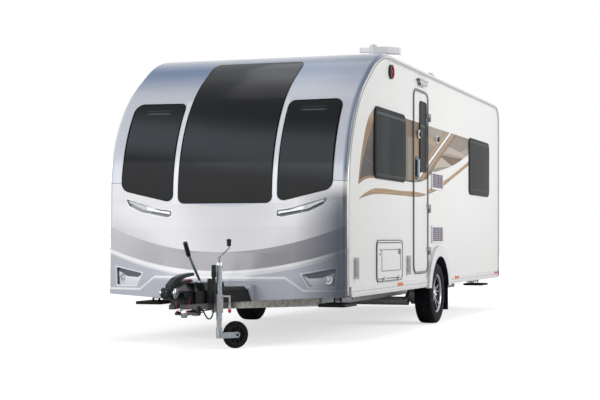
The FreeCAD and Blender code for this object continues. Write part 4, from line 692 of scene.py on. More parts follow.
# ---------------------------------------------------------------- shapes
SHARP = math.radians(30)    # edges that turn by more than this are rounded
STEPS_PER_RADIAN = 16       # steps of a swept bend


def block(shape, low, high, bevel=0.0, segments=2):
    """A box between two corners, its edges rounded."""
    low, high = Vector(low), Vector(high)
    place = Matrix.Translation((low + high) / 2) @ Matrix.Diagonal((*(high - low), 1))
    made = bmesh.ops.create_cube(shape, size=1, matrix=place)["verts"]
    if bevel:
        edges = list({edge for vert in made for edge in vert.link_edges})
        soften(shape, edges, bevel, segments)


def soften(shape, edges, width, segments=2):
    bmesh.ops.bevel(shape, geom=edges, offset=width, offset_type="OFFSET", segments=segments, profile=0.5,
                    affect="EDGES", material=-1, clamp_overlap=True)


def facing(direction):
    """Turns +Z to a direction."""
    return Vector(direction).to_track_quat("Z", "Y").to_matrix().to_4x4()


def rod(shape, start, end, radius, sides=24):
    start, end = Vector(start), Vector(end)
    place = Matrix.Translation((start + end) / 2) @ facing(end - start)
    bmesh.ops.create_cone(shape, cap_ends=True, segments=sides, radius1=radius,
                          radius2=radius, depth=(end - start).length, matrix=place)


def lathe(shape, profile, centre, axis=ALONG_X, sides=64):
    """Turns an outline of (along, radius) points about an axis; a closed outline gives a ring."""
    centre = Vector(centre)
    turn = facing(axis)
    verts = [shape.verts.new(centre + turn @ Vector((radius, 0, along))) for along, radius in profile]
    edges = [shape.edges.new((a, b)) for a, b in zip(verts, verts[1:] + verts[:1])]
    bmesh.ops.spin(shape, geom=verts + edges, cent=centre, axis=axis, dvec=(0, 0, 0), angle=math.tau,
                   steps=sides, use_merge=True)


def flat(shape, corners, place):
    """A flat outline of (a, b, radius) corners, its corners rounded; returns its face."""
    before = set(shape.faces)
    spots = [Vector(place(a, b)) for a, b, _ in corners]
    verts = [shape.verts.new(spot) for spot in spots]
    shape.faces.new(verts)
    for i, (_, _, radius) in enumerate(corners):
        if radius:
            turn = (spots[i - 1] - spots[i]).angle(spots[(i + 1) % len(spots)] - spots[i])
            bmesh.ops.bevel(shape, geom=[verts[i]], offset=radius / math.tan(turn / 2), offset_type="OFFSET",
                            segments=6, profile=0.5, affect="VERTICES", material=-1)
    return [face for face in shape.faces if face not in before]


def plate(shape, corners, place, thickness):
    """A flat outline made thick along a vector; returns its far face."""
    return thicken(shape, flat(shape, corners, place), thickness)


def thicken(shape, faces, thickness):
    """Extrudes flat faces along a vector into a closed solid and returns its far faces."""
    moved = bmesh.ops.extrude_face_region(shape, geom=list(faces))["geom"]
    bmesh.ops.translate(shape, verts=[item for item in moved if isinstance(item, bmesh.types.BMVert)],
                        vec=thickness)
    return only_faces(moved)


def only_faces(geometry):
    return [item for item in geometry if isinstance(item, bmesh.types.BMFace)]


def rectangle(a0, a1, b0, b1, radius):
    return ((a0, b0, radius), (a1, b0, radius), (a1, b1, radius), (a0, b1, radius))


def spread(rect, by):
    """A rectangle of (a0, a1, b0, b1, radius) made larger all round."""
    a0, a1, b0, b1, radius = rect
    return rectangle(a0 - by, a1 + by, b0 - by, b1 + by, radius + by)


def ring(shape, corners, width, place, thickness):
    """A flat frame of one width, its outer edge on an outline of (a, b, radius) corners."""
    middle = flat(shape, corners, place)
    rim = bmesh.ops.inset_region(shape, faces=middle, thickness=width, use_even_offset=True,
                                 use_boundary=True)["faces"]
    bmesh.ops.delete(shape, geom=middle, context="FACES_ONLY")
    thicken(shape, rim, thickness)


def sweep(shape, faces, runs):
    """Carries an end face upwards and on along (length, bend radius, turn) runs that bend to the rear."""
    heading = ALONG_Z.copy()
    for length, radius, turn in runs:
        faces = thicken(shape, faces, heading * length)
        if turn:
            centre = faces[0].calc_center_median() + Vector((0, heading.z, -heading.y)) * radius
            moved = bmesh.ops.spin(shape, geom=faces, cent=centre, axis=-ALONG_X, dvec=(0, 0, 0), angle=turn,
                                   steps=max(4, round(turn * STEPS_PER_RADIAN)))["geom_last"]
            faces = only_faces(moved)
            heading = Matrix.Rotation(-turn, 3, "X") @ heading


def soften_corners(shape, before, width, segments=2):
    """Rounds every sharp edge of the faces that aren't in the set before."""
    added = {edge for face in shape.faces if face not in before for edge in face.edges}
    sharp = [edge for edge in added if edge.is_manifold and edge.calc_face_angle() > SHARP]
    soften(shape, sharp, width, segments)


def piece(name, shape, material, body=ROOT, replaces=(), smooth=30):
    """Closes a shape into an object that rides on a body."""
    bmesh.ops.remove_doubles(shape, verts=shape.verts, dist=1e-6)
    bmesh.ops.recalc_face_normals(shape, faces=shape.faces)
    mesh = bpy.data.meshes.new(name)
    shape.to_mesh(mesh)
    shape.free()
    mesh.materials.append(material)
    mesh.shade_smooth()
    mesh.set_sharp_from_angle(angle=math.radians(smooth))
    made = bpy.data.objects.new(name, mesh)
    bpy.context.scene.collection.objects.link(made)
    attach(made, body)
    if replaces:
        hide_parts(*replaces)
    return made


def at_height(z):
    """Places (across, y) at one height."""
    return lambda x, y: Vector((x, y, z))


def middle(node):
    low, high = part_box(node)
    return (low + high) / 2


def on_wall(side, proud=0.0):
    """Places (station, height) on the outside of a side wall."""
    return lambda station, z: Vector((side * (WALL_OUT + proud), st(station), z))


# ---------------------------------------------------------------- leads
PLUG_RIBS = 16              # ribs round the plug's grip
# routes as (across, station, height)
SOCKET_LEAD = ((0.132, -0.796, 0.338), (0.160, -0.801, 0.318), (0.173, -0.795, 0.285), (0.180, -0.765, 0.257),
               (0.185, -0.728, 0.250), (0.188, -0.692, 0.266), (0.190, -0.668, 0.303), (0.190, -0.660, 0.350),
               (0.190, -0.657, 0.398), (0.190, -0.657, 0.447), (0.190, -0.660, 0.495), (0.190, -0.660, 0.540))
BREAKAWAY = ((0.054, -1.098, 0.412), (0.054, -1.098, 0.382), (0.056, -1.086, 0.350), (0.064, -1.060, 0.322),
             (0.076, -1.018, 0.304), (0.088, -0.975, 0.310), (0.094, -0.945, 0.338), (0.094, -0.930, 0.376),
             (0.094, -0.930, 0.412))


def cord_curve(name, route, diameter, material):
    """A free cord as one smooth curve through its route's control points."""
    curve = bpy.data.curves.new(name, "CURVE")
    curve.dimensions = "3D"
    curve.bevel_depth = diameter / 2
    curve.bevel_resolution = 4
    curve.resolution_u = 12
    curve.use_fill_caps = True
    line = curve.splines.new("NURBS")
    line.points.add(len(route) - 1)
    for point, (x, station, z) in zip(line.points, route):
        point.co = (x, st(station), z, 1)
    line.order_u = 3
    line.use_endpoint_u = True
    curve.materials.append(material)
    made = bpy.data.objects.new(name, curve)
    bpy.context.scene.collection.objects.link(made)
    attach(made, ROOT)
    return made


class CaravanOperator(bpy.types.Operator):
    """Shared options of the caravan's operators."""

    bl_options = {"REGISTER", "UNDO"}


class CARAVAN_OT_camera(CaravanOperator):
    """Place the camera that looks at the front and the entrance side"""

    bl_idname = "caravan.camera"
    bl_label = "Camera"

    def execute(self, context):
        data = bpy.data.cameras.new("camera")
        data.lens = 82.74
        data.sensor_width = 36.0
        data.shift_x = -0.05
        data.shift_y = 0.0635
        data.clip_end = 100.0
        camera = bpy.data.objects.new("camera", data)
        camera.location = (4.541, st(-10.981), 0.902)
        camera.rotation_euler = (math.radians(90), 0, math.radians(18.04))
        context.scene.collection.objects.link(camera)
        context.scene.camera = camera
        return {"FINISHED"}


class CARAVAN_OT_leads(CaravanOperator):
    """Make the electrical lead with its parked plug, and the breakaway cable"""

    bl_idname = "caravan.leads"
    bl_label = "Leads"

    def execute(self, context):
        colours = context.scene.caravan_colours
        black = finish_plain("lead_jacket", (0.02, 0.02, 0.021), 0.55, 400.0)
        red = finish_plain("cable_cover", colours.lead_red, 0.4, 300.0)
        plug = self.plug(black)
        lead = cord_curve("socket_lead_cord", SOCKET_LEAD, 0.012, black)
        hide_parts("socket_lead")
        cable = cord_curve("breakaway_cord", BREAKAWAY, 0.0044, red)
        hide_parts("breakaway_cable")
        dress(black, "lead_fittings")
        return {"FINISHED"}

    def plug(self, material):
        """The parked plug: a knurled grip, a collar and a hinged cap."""
        low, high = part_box("lead_plug")
        x, y = (low.x + high.x) / 2, (low.y + high.y) / 2
        shape = bmesh.new()
        outline = [(0.0, 0.0), (0.0, 0.009), (0.03, 0.0105), (0.044, 0.016), (0.05, 0.019), (0.10, 0.019),
                   (0.106, 0.0172), (0.112, 0.019), (0.141, 0.0185), (0.145, 0.016), (0.145, 0.0)]
        lathe(shape, outline, (x, y, low.z), ALONG_Z, 32)
        for i in range(PLUG_RIBS):
            turn = math.tau * i / PLUG_RIBS
            spot = Vector((x + 0.0185 * math.cos(turn), y + 0.0185 * math.sin(turn), 0))
            rod(shape, spot + Vector((0, 0, low.z + 0.056)), spot + Vector((0, 0, low.z + 0.094)), 0.0018, 6)
        return piece("parked_plug", shape, material, replaces=["lead_plug"])


class CARAVAN_OT_stage(CaravanOperator):
    """Set the floor, the pale backdrop and soft studio lamps"""

    bl_idname = "caravan.stage"
    bl_label = "Stage"

    def execute(self, context):
        shape = bmesh.new()
        bmesh.ops.create_grid(shape, x_segments=1, y_segments=1, size=60)
        mesh = bpy.data.meshes.new("studio_floor")
        shape.to_mesh(mesh)
        shape.free()
        floor = bpy.data.objects.new("studio_floor", mesh)
        mesh.materials.append(self.floor_finish())
        context.scene.collection.objects.link(floor)
        self.sky()
        for name, place, target, size, power in LAMPS:
            self.lamp(name, place, target, size, power)
        context.scene.view_settings.view_transform = "Standard"
        return {"FINISHED"}

    def floor_finish(self):
        """Floor that fades to white round the caravan and keeps its soft shadow."""
        finish = Finish("studio_floor", (0.80, 0.80, 0.80), 0.9, specular_ior_level=0.0,
                        emission_color=(1, 1, 1, 1))
        finish.mottle(0.4, 0.2, 0.96)
        x, y, _ = finish.axes()
        glow = finish.ramp(finish.distance(x, y), 5.0, 9.0, FLOOR_GLOW, 1.0)
        seen = finish.node("ShaderNodeLightPath").outputs["Is Camera Ray"]
        finish.feed(finish.shader.inputs["Emission Strength"], finish.product(glow, seen))
        return finish.material

    def sky(self):
        world = bpy.data.worlds.new("studio")
        bpy.context.scene.world = world
        world.use_nodes = True
        tree = world.node_tree
        light = tree.nodes["Background"]
        light.inputs["Color"].default_value = (0.94, 0.96, 1.0, 1)
        light.inputs["Strength"].default_value = 0.31
        white = tree.nodes.new("ShaderNodeBackground")
        white.inputs["Color"].default_value = (1, 1, 1, 1)
        path = tree.nodes.new("ShaderNodeLightPath")
        seen = path.outputs["Is Camera Ray"]
        for kind in ("Is Glossy Ray", "Is Transmission Ray"):
            either = tree.nodes.new("ShaderNodeMath")
            either.operation = "MAXIMUM"
            tree.links.new(seen, either.inputs[0])
            tree.links.new(path.outputs[kind], either.inputs[1])
            seen = either.outputs[0]
        mix = tree.nodes.new("ShaderNodeMixShader")
        tree.links.new(seen, mix.inputs[0])
        tree.links.new(light.outputs[0], mix.inputs[1])
        tree.links.new(white.outputs[0], mix.inputs[2])
        tree.links.new(mix.outputs[0], tree.nodes["World Output"].inputs["Surface"])

    def lamp(self, name, place, target, size, power):
        data = bpy.data.lights.new(name, "AREA")
        data.size = size
        data.energy = power
        made = bpy.data.objects.new(name, data)
        made.location = place
        made.rotation_euler = (Vector(target) - Vector(place)).to_track_quat("-Z", "Y").to_euler()
        bpy.context.scene.collection.objects.link(made)


FLOOR_GLOW = 0.62           # how bright the floor looks of itself, near the caravan
# soft lamps as (name, place, target, size, watts)
LAMPS = (
    ("key_front", (-3.6, -10.0, 3.2), (0.0, -2.5, 1.1), 5.0, 400.0),
    ("fill_side", (9.5, 2.4, 4.0), (1.1, 0.3, 1.4), 6.0, 560.0),
    ("top", (0.0, 1.0, 9.0), (0.0, 0.5, 2.0), 6.0, 160.0),
)


class CARAVAN_OT_shell(CaravanOperator):
    """Finish the body's panels, floor, skirts and arches"""

    bl_idname = "caravan.shell"
    bl_label = "Body shell"

    def execute(self, context):
        colours = context.scene.caravan_colours
        dress(finish_side(colours), "wall_near", "wall_off", "door_panel", "locker_lid")
        dress(finish_moulding(colours), "front_panel", "roof", "rear_panel", "rear_bumper")
        trim = finish_plain("white_trim", colours.trim, 0.35, coat_weight=0.2)
        dress(trim, "skirts", "locker_frame", "grab_handles", "roof_fittings")
        dress(finish_arch(), "arch_trims")
        dress(finish_ply(), "floor")
        dress(finish_plain("wheel_box_plastic", (0.006, 0.006, 0.008), 0.7), "wheel_boxes")
        rail = Finish("edge_rail", colours.rail, 0.28, metallic=0.4, coat_weight=0.3)
        rail.mottle(20.0, 0.2, 0.85)
        dress(rail.material, "edge_rails")
        dress(finish_plain("bottle_paint", (0.35, 0.04, 0.03), 0.4), "gas_bottles")
        return {"FINISHED"}


class CARAVAN_OT_rails(CaravanOperator):
    """Lay the grey insert in both edge rails"""

    bl_idname = "caravan.rails"
    bl_label = "Edge rail inserts"

    def execute(self, context):
        sizes = context.scene.caravan_sizes
        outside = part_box("edge_rails")[1].x
        station, z = RAIL_START
        half = sizes.rail_insert / 2
        shape = bmesh.new()
        for side in (-1, 1):
            start = flat(shape, rectangle(0, 0.0022, -half, half, 0),
                         lambda a, b: Vector((side * (outside - 0.001 + a), st(station) + b, z)))
            sweep(shape, start, RAIL_RUNS)
        piece("edge_rail_inserts", shape, finish_plain("rail_insert", (0.16, 0.20, 0.27), 0.45))
        return {"FINISHED"}


class CARAVAN_OT_glazing(CaravanOperator):
    """Finish the windows, give them their seals and dome the rooflights"""

    bl_idname = "caravan.glazing"
    bl_label = "Glazing"

    def execute(self, context):
        colours = context.scene.caravan_colours
        sizes = context.scene.caravan_sizes
        dress(finish_glazing(colours), "windows_front")
        dress(finish_cabin_glazing(colours), "windows_cabin", "door_window")
        seal = finish_plain("window_seal", (0.012, 0.014, 0.018), 0.5)
        for side, name, windows in ((1, "near", (FRONT_WINDOW, BED_WINDOW)),
                                    (-1, "off", (FRONT_WINDOW, KITCHEN_WINDOW, BED_WINDOW))):
            shape = bmesh.new()
            for window in windows:
                ring(shape, spread(window, PANE_LAP + 0.006), sizes.seal + 0.008, on_wall(side),
                     (side * 0.009, 0, 0))
            piece("window_seals_" + name, shape, seal)
        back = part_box("rear_panel")[1].y
        shape = bmesh.new()
        ring(shape, spread(REAR_WINDOW, PANE_LAP + 0.006), sizes.seal + 0.008,
             lambda x, z: Vector((x, back, z)), (0, 0.007, 0))
        piece("window_seal_rear", shape, seal)
        self.rooflights()
        return {"FINISHED"}

    def rooflights(self):
        """White frames with smoky domes."""
        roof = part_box("roof")[1].z
        frames, domes = bmesh.new(), bmesh.new()
        for x, station, half_x, half_y, high in ROOFLIGHTS:
            y = st(station)
            rect = (x - half_x, x + half_x, y - half_y, y + half_y, 0.050)
            before = set(frames.faces)
            plate(frames, rectangle(*rect), at_height(roof), (0, 0, high * FRAME_SHARE))
            soften_corners(frames, before, 0.006)
            before = set(domes.faces)
            plate(domes, spread(rect, -0.022), at_height(roof + high * FRAME_SHARE),
                  (0, 0, high * (1 - FRAME_SHARE)))
            soften_corners(domes, before, high * 0.3, 5)
        piece("rooflight_frames", frames, finish_plain("rooflight_frame", (0.74, 0.74, 0.74), 0.4),
              replaces=["rooflights"])
        dome = Finish("smoky_dome", (0.16, 0.18, 0.19), 0.15, specular_ior_level=0.4)
        dome.mottle(4.0, 0.4, 0.8)
        piece("rooflight_domes", domes, dome.sheen_drift(8.0, 0.1, 0.22).material)


FRAME_SHARE = 0.35          # how much of a rooflight's height is frame
# rooflights as (across, station, half width, half length, height)
ROOFLIGHTS = ((0.0, 2.350, 0.350, 0.260, 0.080), (0.0, 4.300, 0.210, 0.210, 0.060))


class CARAVAN_OT_lamps(CaravanOperator):
    """Finish the lamps and markers"""

    bl_idname = "caravan.lamps"
    bl_label = "Lamps"

    def execute(self, context):
        dress(finish_front_lamps(), "clear_lamps")
        self.fog_lamps()
        dress(finish_rear_lamps(), "rear_lamps")
        dress(finish_markers(), "side_markers")
        return {"FINISHED"}

    def fog_lamps(self):
        """A plated ring and a domed lens on the floor of each recess."""
        rings, lenses = bmesh.new(), bmesh.new()
        x, z = FOG_LAMP
        for side in (-1, 1):
            spot = front_face(side * x, z) + ALONG_Y * 0.006
            lathe(rings, [(0.0, 0.026), (0.0, 0.0395), (0.010, 0.0385), (0.014, 0.0345), (0.012, 0.0300),
                          (0.006, 0.026)], spot, -ALONG_Y, 48)
            lathe(lenses, [(0.0, 0.0), (0.0, 0.0300), (0.008, 0.0290), (0.012, 0.0190), (0.0095, 0.0170),
                           (0.0125, 0.0100), (0.0135, 0.0)], spot, -ALONG_Y, 48)
        piece("fog_lamp_rings", rings, finish_chrome("lamp_plating"))
        piece("fog_lamp_lenses", lenses, finish_plain("fog_lens", (0.42, 0.44, 0.48), 0.12, coat_weight=0.6))


def front_face(x, z):
    """Where a line from the front meets the lower moulding."""
    moulding = BVHTree.FromObject(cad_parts["front_panel"], bpy.context.evaluated_depsgraph_get())
    return moulding.ray_cast(Vector((x, CAD_BOX[0].y - 1, z)), ALONG_Y)[0]


class CARAVAN_OT_door(CaravanOperator):
    """Add the door's seal, handle, catch and hinges"""

    bl_idname = "caravan.door"
    bl_label = "Entrance door"

    def execute(self, context):
        dress(finish_door_fittings(), "door_fittings")
        dress(finish_plain("hinge_grey", (0.42, 0.43, 0.45), 0.45), "hinge_halves")
        shape = bmesh.new()
        ring(shape, spread(DOOR, -0.006), 0.012, on_wall(1), (0.013, 0, 0))
        piece("door_seal", shape, finish_plain("seal_grey", (0.21, 0.215, 0.22), 0.5), "door")
        shape = bmesh.new()
        ring(shape, spread(DOOR_WINDOW, PANE_LAP + 0.003), 0.012, on_wall(1), (0.008, 0, 0))
        piece("door_window_seal", shape, finish_plain("door_seal_black", (0.008, 0.009, 0.011), 0.5), "door")
        shape = bmesh.new()
        before = set(shape.faces)
        plate(shape, rectangle(2.414, 2.452, 1.505, 1.695, 0.017), on_wall(1, 0.008), (0.011, 0, 0))
        soften_corners(shape, before, 0.003)
        piece("door_handle_lever", shape, finish_plain("lever_blue", (0.36, 0.52, 0.66), 0.3, metallic=0.3),
              "door")
        self.catch("door_catch", 2.440, 1.943, "door", 0.010)
        self.catch("wall_catch", 3.240, 1.946, ROOT, 0.0)
        return {"FINISHED"}

    def catch(self, name, station, z, body, proud):
        """A dark knob in a white cup, which holds the open door."""
        centre = (WALL_OUT + proud, st(station), z)
        shape = bmesh.new()
        lathe(shape, [(0.0, 0.0), (0.0, 0.043), (0.009, 0.043), (0.013, 0.038), (0.013, 0.0)], centre,
              ALONG_X, 40)
        piece(name + "_cup", shape, finish_plain("catch_white", (0.80, 0.80, 0.80), 0.35), body)
        shape = bmesh.new()
        lathe(shape, [(0.010, 0.0), (0.010, 0.030), (0.022, 0.029), (0.031, 0.021), (0.034, 0.0)], centre,
              ALONG_X, 40)
        piece(name + "_knob", shape, finish_plain("catch_blue", (0.008, 0.018, 0.05), 0.3), body)


class CARAVAN_OT_locker(CaravanOperator):
    """Add the locker's grey surround and the lid's grey inner line, both painted shade of edges, and its
    locks
    """

    bl_idname = "caravan.locker"
    bl_label = "Locker"

    def execute(self, context):
        grey = finish_plain("surround_grey", (0.17, 0.175, 0.18), 0.5)
        shape = bmesh.new()
        # painted shade: a grey ring round the locker frame stands for the shadow line of its edge
        ring(shape, spread(LOCKER, 0.031), 0.010, on_wall(1), (0.012, 0, 0))
        piece("locker_surround", shape, grey)
        start, end, low, high, _ = LOCKER
        shape = bmesh.new()
        face = on_wall(1, 0.008)
        # painted shade: a grey ring on the lid stands for the shadow line of its inner step
        ring(shape, rectangle(start + 0.130, end - 0.050, low + 0.062, high - 0.057, 0.012), 0.006, face,
             (0.0035, 0, 0))
        before = set(shape.faces)
        plate(shape, rectangle(end - 0.125, end - 0.046, high - 0.105, high - 0.053, 0.012), face,
              (0.005, 0, 0))
        soften_corners(shape, before, 0.0015)
        for station, z in ((start + 0.085, high - 0.062), (start + 0.070, high - 0.100)):
            rod(shape, face(station, z), face(station, z) + ALONG_X * 0.005, 0.010, 20)
        piece("locker_lines", shape, grey, "locker")
        return {"FINISHED"}


class CARAVAN_OT_fittings(CaravanOperator):
    """Add the skirts' lines, the vents' grilles, the grab handles' webs and the flue's finish"""

    bl_idname = "caravan.fittings"
    bl_label = "Body fittings"

    def execute(self, context):
        colours = context.scene.caravan_colours
        flue = Finish("flue_black", (0.008, 0.008, 0.010), 0.4)
        flue.mottle(20.0, 0.3, 0.7)
        flue.tint((0.50, 0.015, 0.03), flue.above(flue.axes()[1], st(FLUE[0] + 0.014), 0.008))
        dress(flue.material, "flue_outlet")
        self.skirts()
        self.vents()
        shape = bmesh.new()
        for side in (-1, 1):
            for station, low, high in GRIPS:
                block(shape, (side * (WALL_OUT + 0.001), st(station) - 0.006, low + 0.024),
                      (side * (WALL_OUT + 0.033), st(station) + 0.006, high - 0.024), 0.001)
        piece("grab_handle_webs", shape, finish_plain("handle_web", (0.70, 0.70, 0.71), 0.5))
        return {"FINISHED"}

    def skirts(self):
        """A fine grey line, which is painted shade of a groove, and three ribs along each skirt, greyed as
        painted shade of its lower edge.
        """
        lines, ribs = bmesh.new(), bmesh.new()
        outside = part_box("skirts")[1].x
        for side in (-1, 1):
            for start, end in SKIRTS:
                y0, y1 = st(start) + 0.004, st(end) - 0.004
                # painted shade: the grey strip stands for the shadow in a groove along the skirt
                block(lines, (side * (outside - 0.001), y0, 0.4450), (side * (outside + 0.0008), y1, 0.4485))
                for z in (0.4050, 0.4145, 0.4240):
                    rod(ribs, (side * (outside - 0.001), y0, z), (side * (outside - 0.001), y1, z), 0.0036, 8)
        piece("skirt_lines", lines, finish_plain("line_grey", (0.20, 0.21, 0.24), 0.5))
        # painted shade: the ribs are a greyed copy of the white trim
        piece("skirt_ribs", ribs, finish_plain("rib_white", (0.66, 0.65, 0.66), 0.4))

    def vents(self):
        """White frames with a grid of slats over a back that is darkened as painted shade."""
        frames, grids = bmesh.new(), bmesh.new()
        for rect in VENTS:
            start, end, low, high, _ = rect
            before = set(frames.faces)
            ring(frames, rectangle(*rect), 0.022, on_wall(1), (0.012, 0, 0))
            soften_corners(frames, before, 0.0015)
            left, right = st(start) + 0.020, st(end) - 0.020
            block(grids, (WALL_OUT, left, low + 0.020), (WALL_OUT + 0.002, right, high - 0.020))
            rise = (high - low - 0.044) / 7
            for row in range(1, 7):
                z = low + 0.022 + rise * row
                block(grids, (WALL_OUT + 0.001, left, z - 0.0035), (WALL_OUT + 0.010, right, z + 0.0035),
                      0.0008, 1)
            for column in (1, 2):
                y = left + (right - left) * column / 3
                block(grids, (WALL_OUT + 0.001, y - 0.007, low + 0.020),
                      (WALL_OUT + 0.009, y + 0.007, high - 0.020), 0.001, 1)
        piece("vent_frames", frames, finish_plain("vent_white", (0.78, 0.78, 0.79), 0.4),
              replaces=["fridge_vents"])
        grid = Finish("vent_mauve", (0.40, 0.36, 0.41), 0.5)
        # painted shade: the back behind the slats is darker than the slats
        grid.tint((0.17, 0.15, 0.19), grid.below(grid.axes()[0], WALL_OUT + 0.004))
        piece("vent_grids", grids, grid.material)


# road wheel, in metres from its centre: (across, radius)
SIDEWALL = ((0.0755, 0.196), (0.083, 0.203), (0.0885, 0.2135), (0.0925, 0.2145), (0.0925, 0.2185),
            (0.0945, 0.226), (0.0972, 0.248), (0.0960, 0.252), (0.0972, 0.256), (0.0960, 0.272),
            (0.0935, 0.284), (0.0905, 0.296), (0.0865, 0.305), (0.0800, 0.3105))
RIBS = ((0.072, 0.050), (0.043, 0.016), (0.0105, -0.0105), (-0.016, -0.043), (-0.050, -0.072))
TYRE_RADIUS = 0.320
SHOULDER_RADIUS = 0.302     # the tread lies outside this
CROWN_DROP = 0.7            # how fast the tread falls away from the middle
SPOKE_PAIRS = 5
# a spoke's outline, as (radius, degrees from the middle of its pair, corner radius)
SPOKE = ((0.060, 3.0, 0), (0.060, 22.0, 0), (0.110, 15.0, 0), (0.1875, 15.2, 0), (0.1875, 9.6, 0),
         (0.110, 6.0, 0))
BOLTS = 5
BOLT_CIRCLE = 0.054         # radius of the circle that the bolts stand on
JACK = (0.2120194, st(-0.600))          # across and y of the jack's tube
JOCKEY_TURN = math.radians(-50)         # the jockey wheel's axle, turned from straight back
JOCKEY_HALF = 0.026         # half of the jockey wheel's width
HUB_RIBS = 8


class Wheel:
    """A road wheel: its side, its centre and the way it faces."""

    def __init__(self, side, centre, way):
        self.side, self.centre, self.way = side, centre, way

    def lathe(self, shape, outline, sides=64):
        """Turns an outline of (outwards, radius) points about the wheel's axle."""
        lathe(shape, [(along * self.way, radius) for along, radius in outline], self.centre, ALONG_X, sides)

    def out(self, distance):
        return Vector((self.way * distance, 0, 0))

    def piece(self, name, shape, material, slot="alloy", replaced=None, smooth=30):
        replaces = [replaced + self.side] if replaced else ()
        piece(name + self.side, shape, material, "wheel_" + self.side, replaces, smooth)


class CARAVAN_OT_wheels(CaravanOperator):
    """Make the tyres with their tread and the alloy wheels with paired spokes"""

    bl_idname = "caravan.wheels"
    bl_label = "Road wheels"

    def execute(self, context):
        sizes = context.scene.caravan_sizes
        rubber = finish_rubber()
        bright = finish_alloy()
        black = finish_plain("wheel_black", (0.012, 0.012, 0.014), 0.28, coat_weight=0.4)
        plated = finish_chrome("wheel_plating")
        for side, way in (("near", 1), ("off", -1)):
            wheel = Wheel(side, middle("tyre_" + side), way)
            self.tyre(wheel, rubber, sizes)
            self.barrel(wheel, black)
            self.spokes(wheel, bright)
            self.bolts(wheel, plated)
        return {"FINISHED"}

    def tyre(self, wheel, material, sizes):
        """Tyre with plain sidewalls and blocks raised between its grooves."""
        shape = bmesh.new()
        outline = list(SIDEWALL)
        for rib in RIBS:
            outline += [(x, TYRE_RADIUS - sizes.tread_depth - CROWN_DROP * x * x) for x in rib]
        outline += [(-x, r) for x, r in reversed(SIDEWALL)]
        wheel.lathe(shape, outline, sizes.tread_ribs)
        blocks = [face for face in shape.faces if self.on_tread(face.calc_center_median() - wheel.centre)]
        bmesh.ops.recalc_face_normals(shape, faces=shape.faces)
        bmesh.ops.inset_individual(shape, faces=blocks, thickness=0.0013, depth=sizes.tread_depth)
        wheel.piece("tyre_tread_", shape, material, "tyre", "tyre_", smooth=35)

    def on_tread(self, spot):
        radius = math.hypot(spot.y, spot.z)
        return radius > SHOULDER_RADIUS and any(right < spot.x < left for left, right in RIBS)

    def barrel(self, wheel, material):
        """The rim's barrel with its lip, and the dark dish behind the spokes."""
        shape = bmesh.new()
        outline = [(-0.075, 0.1957), (-0.075, 0.182), (-0.045, 0.170), (0.020, 0.166), (0.028, 0.178),
                   (0.060, 0.185), (0.072, 0.190), (0.079, 0.199), (0.075, 0.1957)]
        wheel.lathe(shape, outline)
        dish = [(-0.010, 0.0265), (-0.010, 0.062), (0.010, 0.070), (0.016, 0.120), (0.020, 0.1665),
                (0.028, 0.1665), (0.024, 0.116), (0.020, 0.076), (0.030, 0.062), (0.030, 0.0265)]
        wheel.lathe(shape, dish)
        wheel.piece("rim_barrel_", shape, material, replaced="rim_")

    def spokes(self, wheel, material):
        """Five pairs of spokes between the hub and the machined lip."""
        shape = bmesh.new()
        lip = [(0.060, 0.1845), (0.066, 0.1830), (0.0745, 0.1870), (0.0800, 0.1960), (0.0820, 0.2040),
               (0.0780, 0.2050), (0.0740, 0.1965)]
        wheel.lathe(shape, lip, 96)
        hub = [(0.040, 0.0265), (0.040, 0.060), (0.050, 0.071), (0.058, 0.066), (0.060, 0.046),
               (0.054, 0.0435), (0.054, 0.0265)]
        wheel.lathe(shape, hub, 80)
        for pair in range(SPOKE_PAIRS):
            for lean in (-1, 1):
                self.spoke(shape, wheel, math.tau * pair / SPOKE_PAIRS, lean)
        wheel.piece("rim_spokes_", shape, material, smooth=25)

    def spoke(self, shape, wheel, turn, lean):
        """One spoke: it leaves the hub beside its twin and opens away from it towards the lip."""
        before = set(shape.faces)

        def place(out, angle):
            bearing = turn + lean * math.radians(angle)
            return wheel.centre + Vector((wheel.way * 0.036, out * math.sin(bearing),
                                          out * math.cos(bearing)))

        face = plate(shape, SPOKE, place, wheel.out(0.017))
        tip = [vert for vert in face[0].verts if (vert.co - wheel.centre).length > 0.15]
        bmesh.ops.translate(shape, verts=tip, vec=wheel.out(0.016))
        soften_corners(shape, before, 0.0022, 2)

    def bolts(self, wheel, material):
        """Five hexagon bolts with their collars, and the plain centre cap."""
        shape = bmesh.new()
        for i in range(BOLTS):
            turn = math.tau * (i + 0.5) / BOLTS
            spot = wheel.centre + Vector((wheel.way * 0.050, BOLT_CIRCLE * math.sin(turn),
                                          BOLT_CIRCLE * math.cos(turn)))
            rod(shape, spot, spot + wheel.out(0.015), 0.0098, 6)
            rod(shape, spot + wheel.out(0.006), spot + wheel.out(0.009), 0.0125)
        wheel.lathe(shape, [(0.050, 0.0), (0.050, 0.041), (0.060, 0.042), (0.064, 0.036), (0.0645, 0.031),
                            (0.0625, 0.029), (0.0625, 0.0)])
        wheel.piece("wheel_bolts_", shape, material)


class CARAVAN_OT_chassis(CaravanOperator):
    """Finish the chassis, axle, drawbar and corner steadies"""

    bl_idname = "caravan.chassis"
    bl_label = "Chassis"

    def execute(self, context):
        steel = finish_galvanised()
        dress(steel, "chassis_frame", "axle", "steady_brackets")
        dress(finish_legs(), "drawbar_legs")
        foot = finish_plain("foot_plastic", (0.02, 0.02, 0.02), 0.6)
        for corner in ("front_near", "front_off", "rear_near", "rear_off"):
            dress(steel, "steady_" + corner)
            dress(foot, "foot_" + corner)
        return {"FINISHED"}


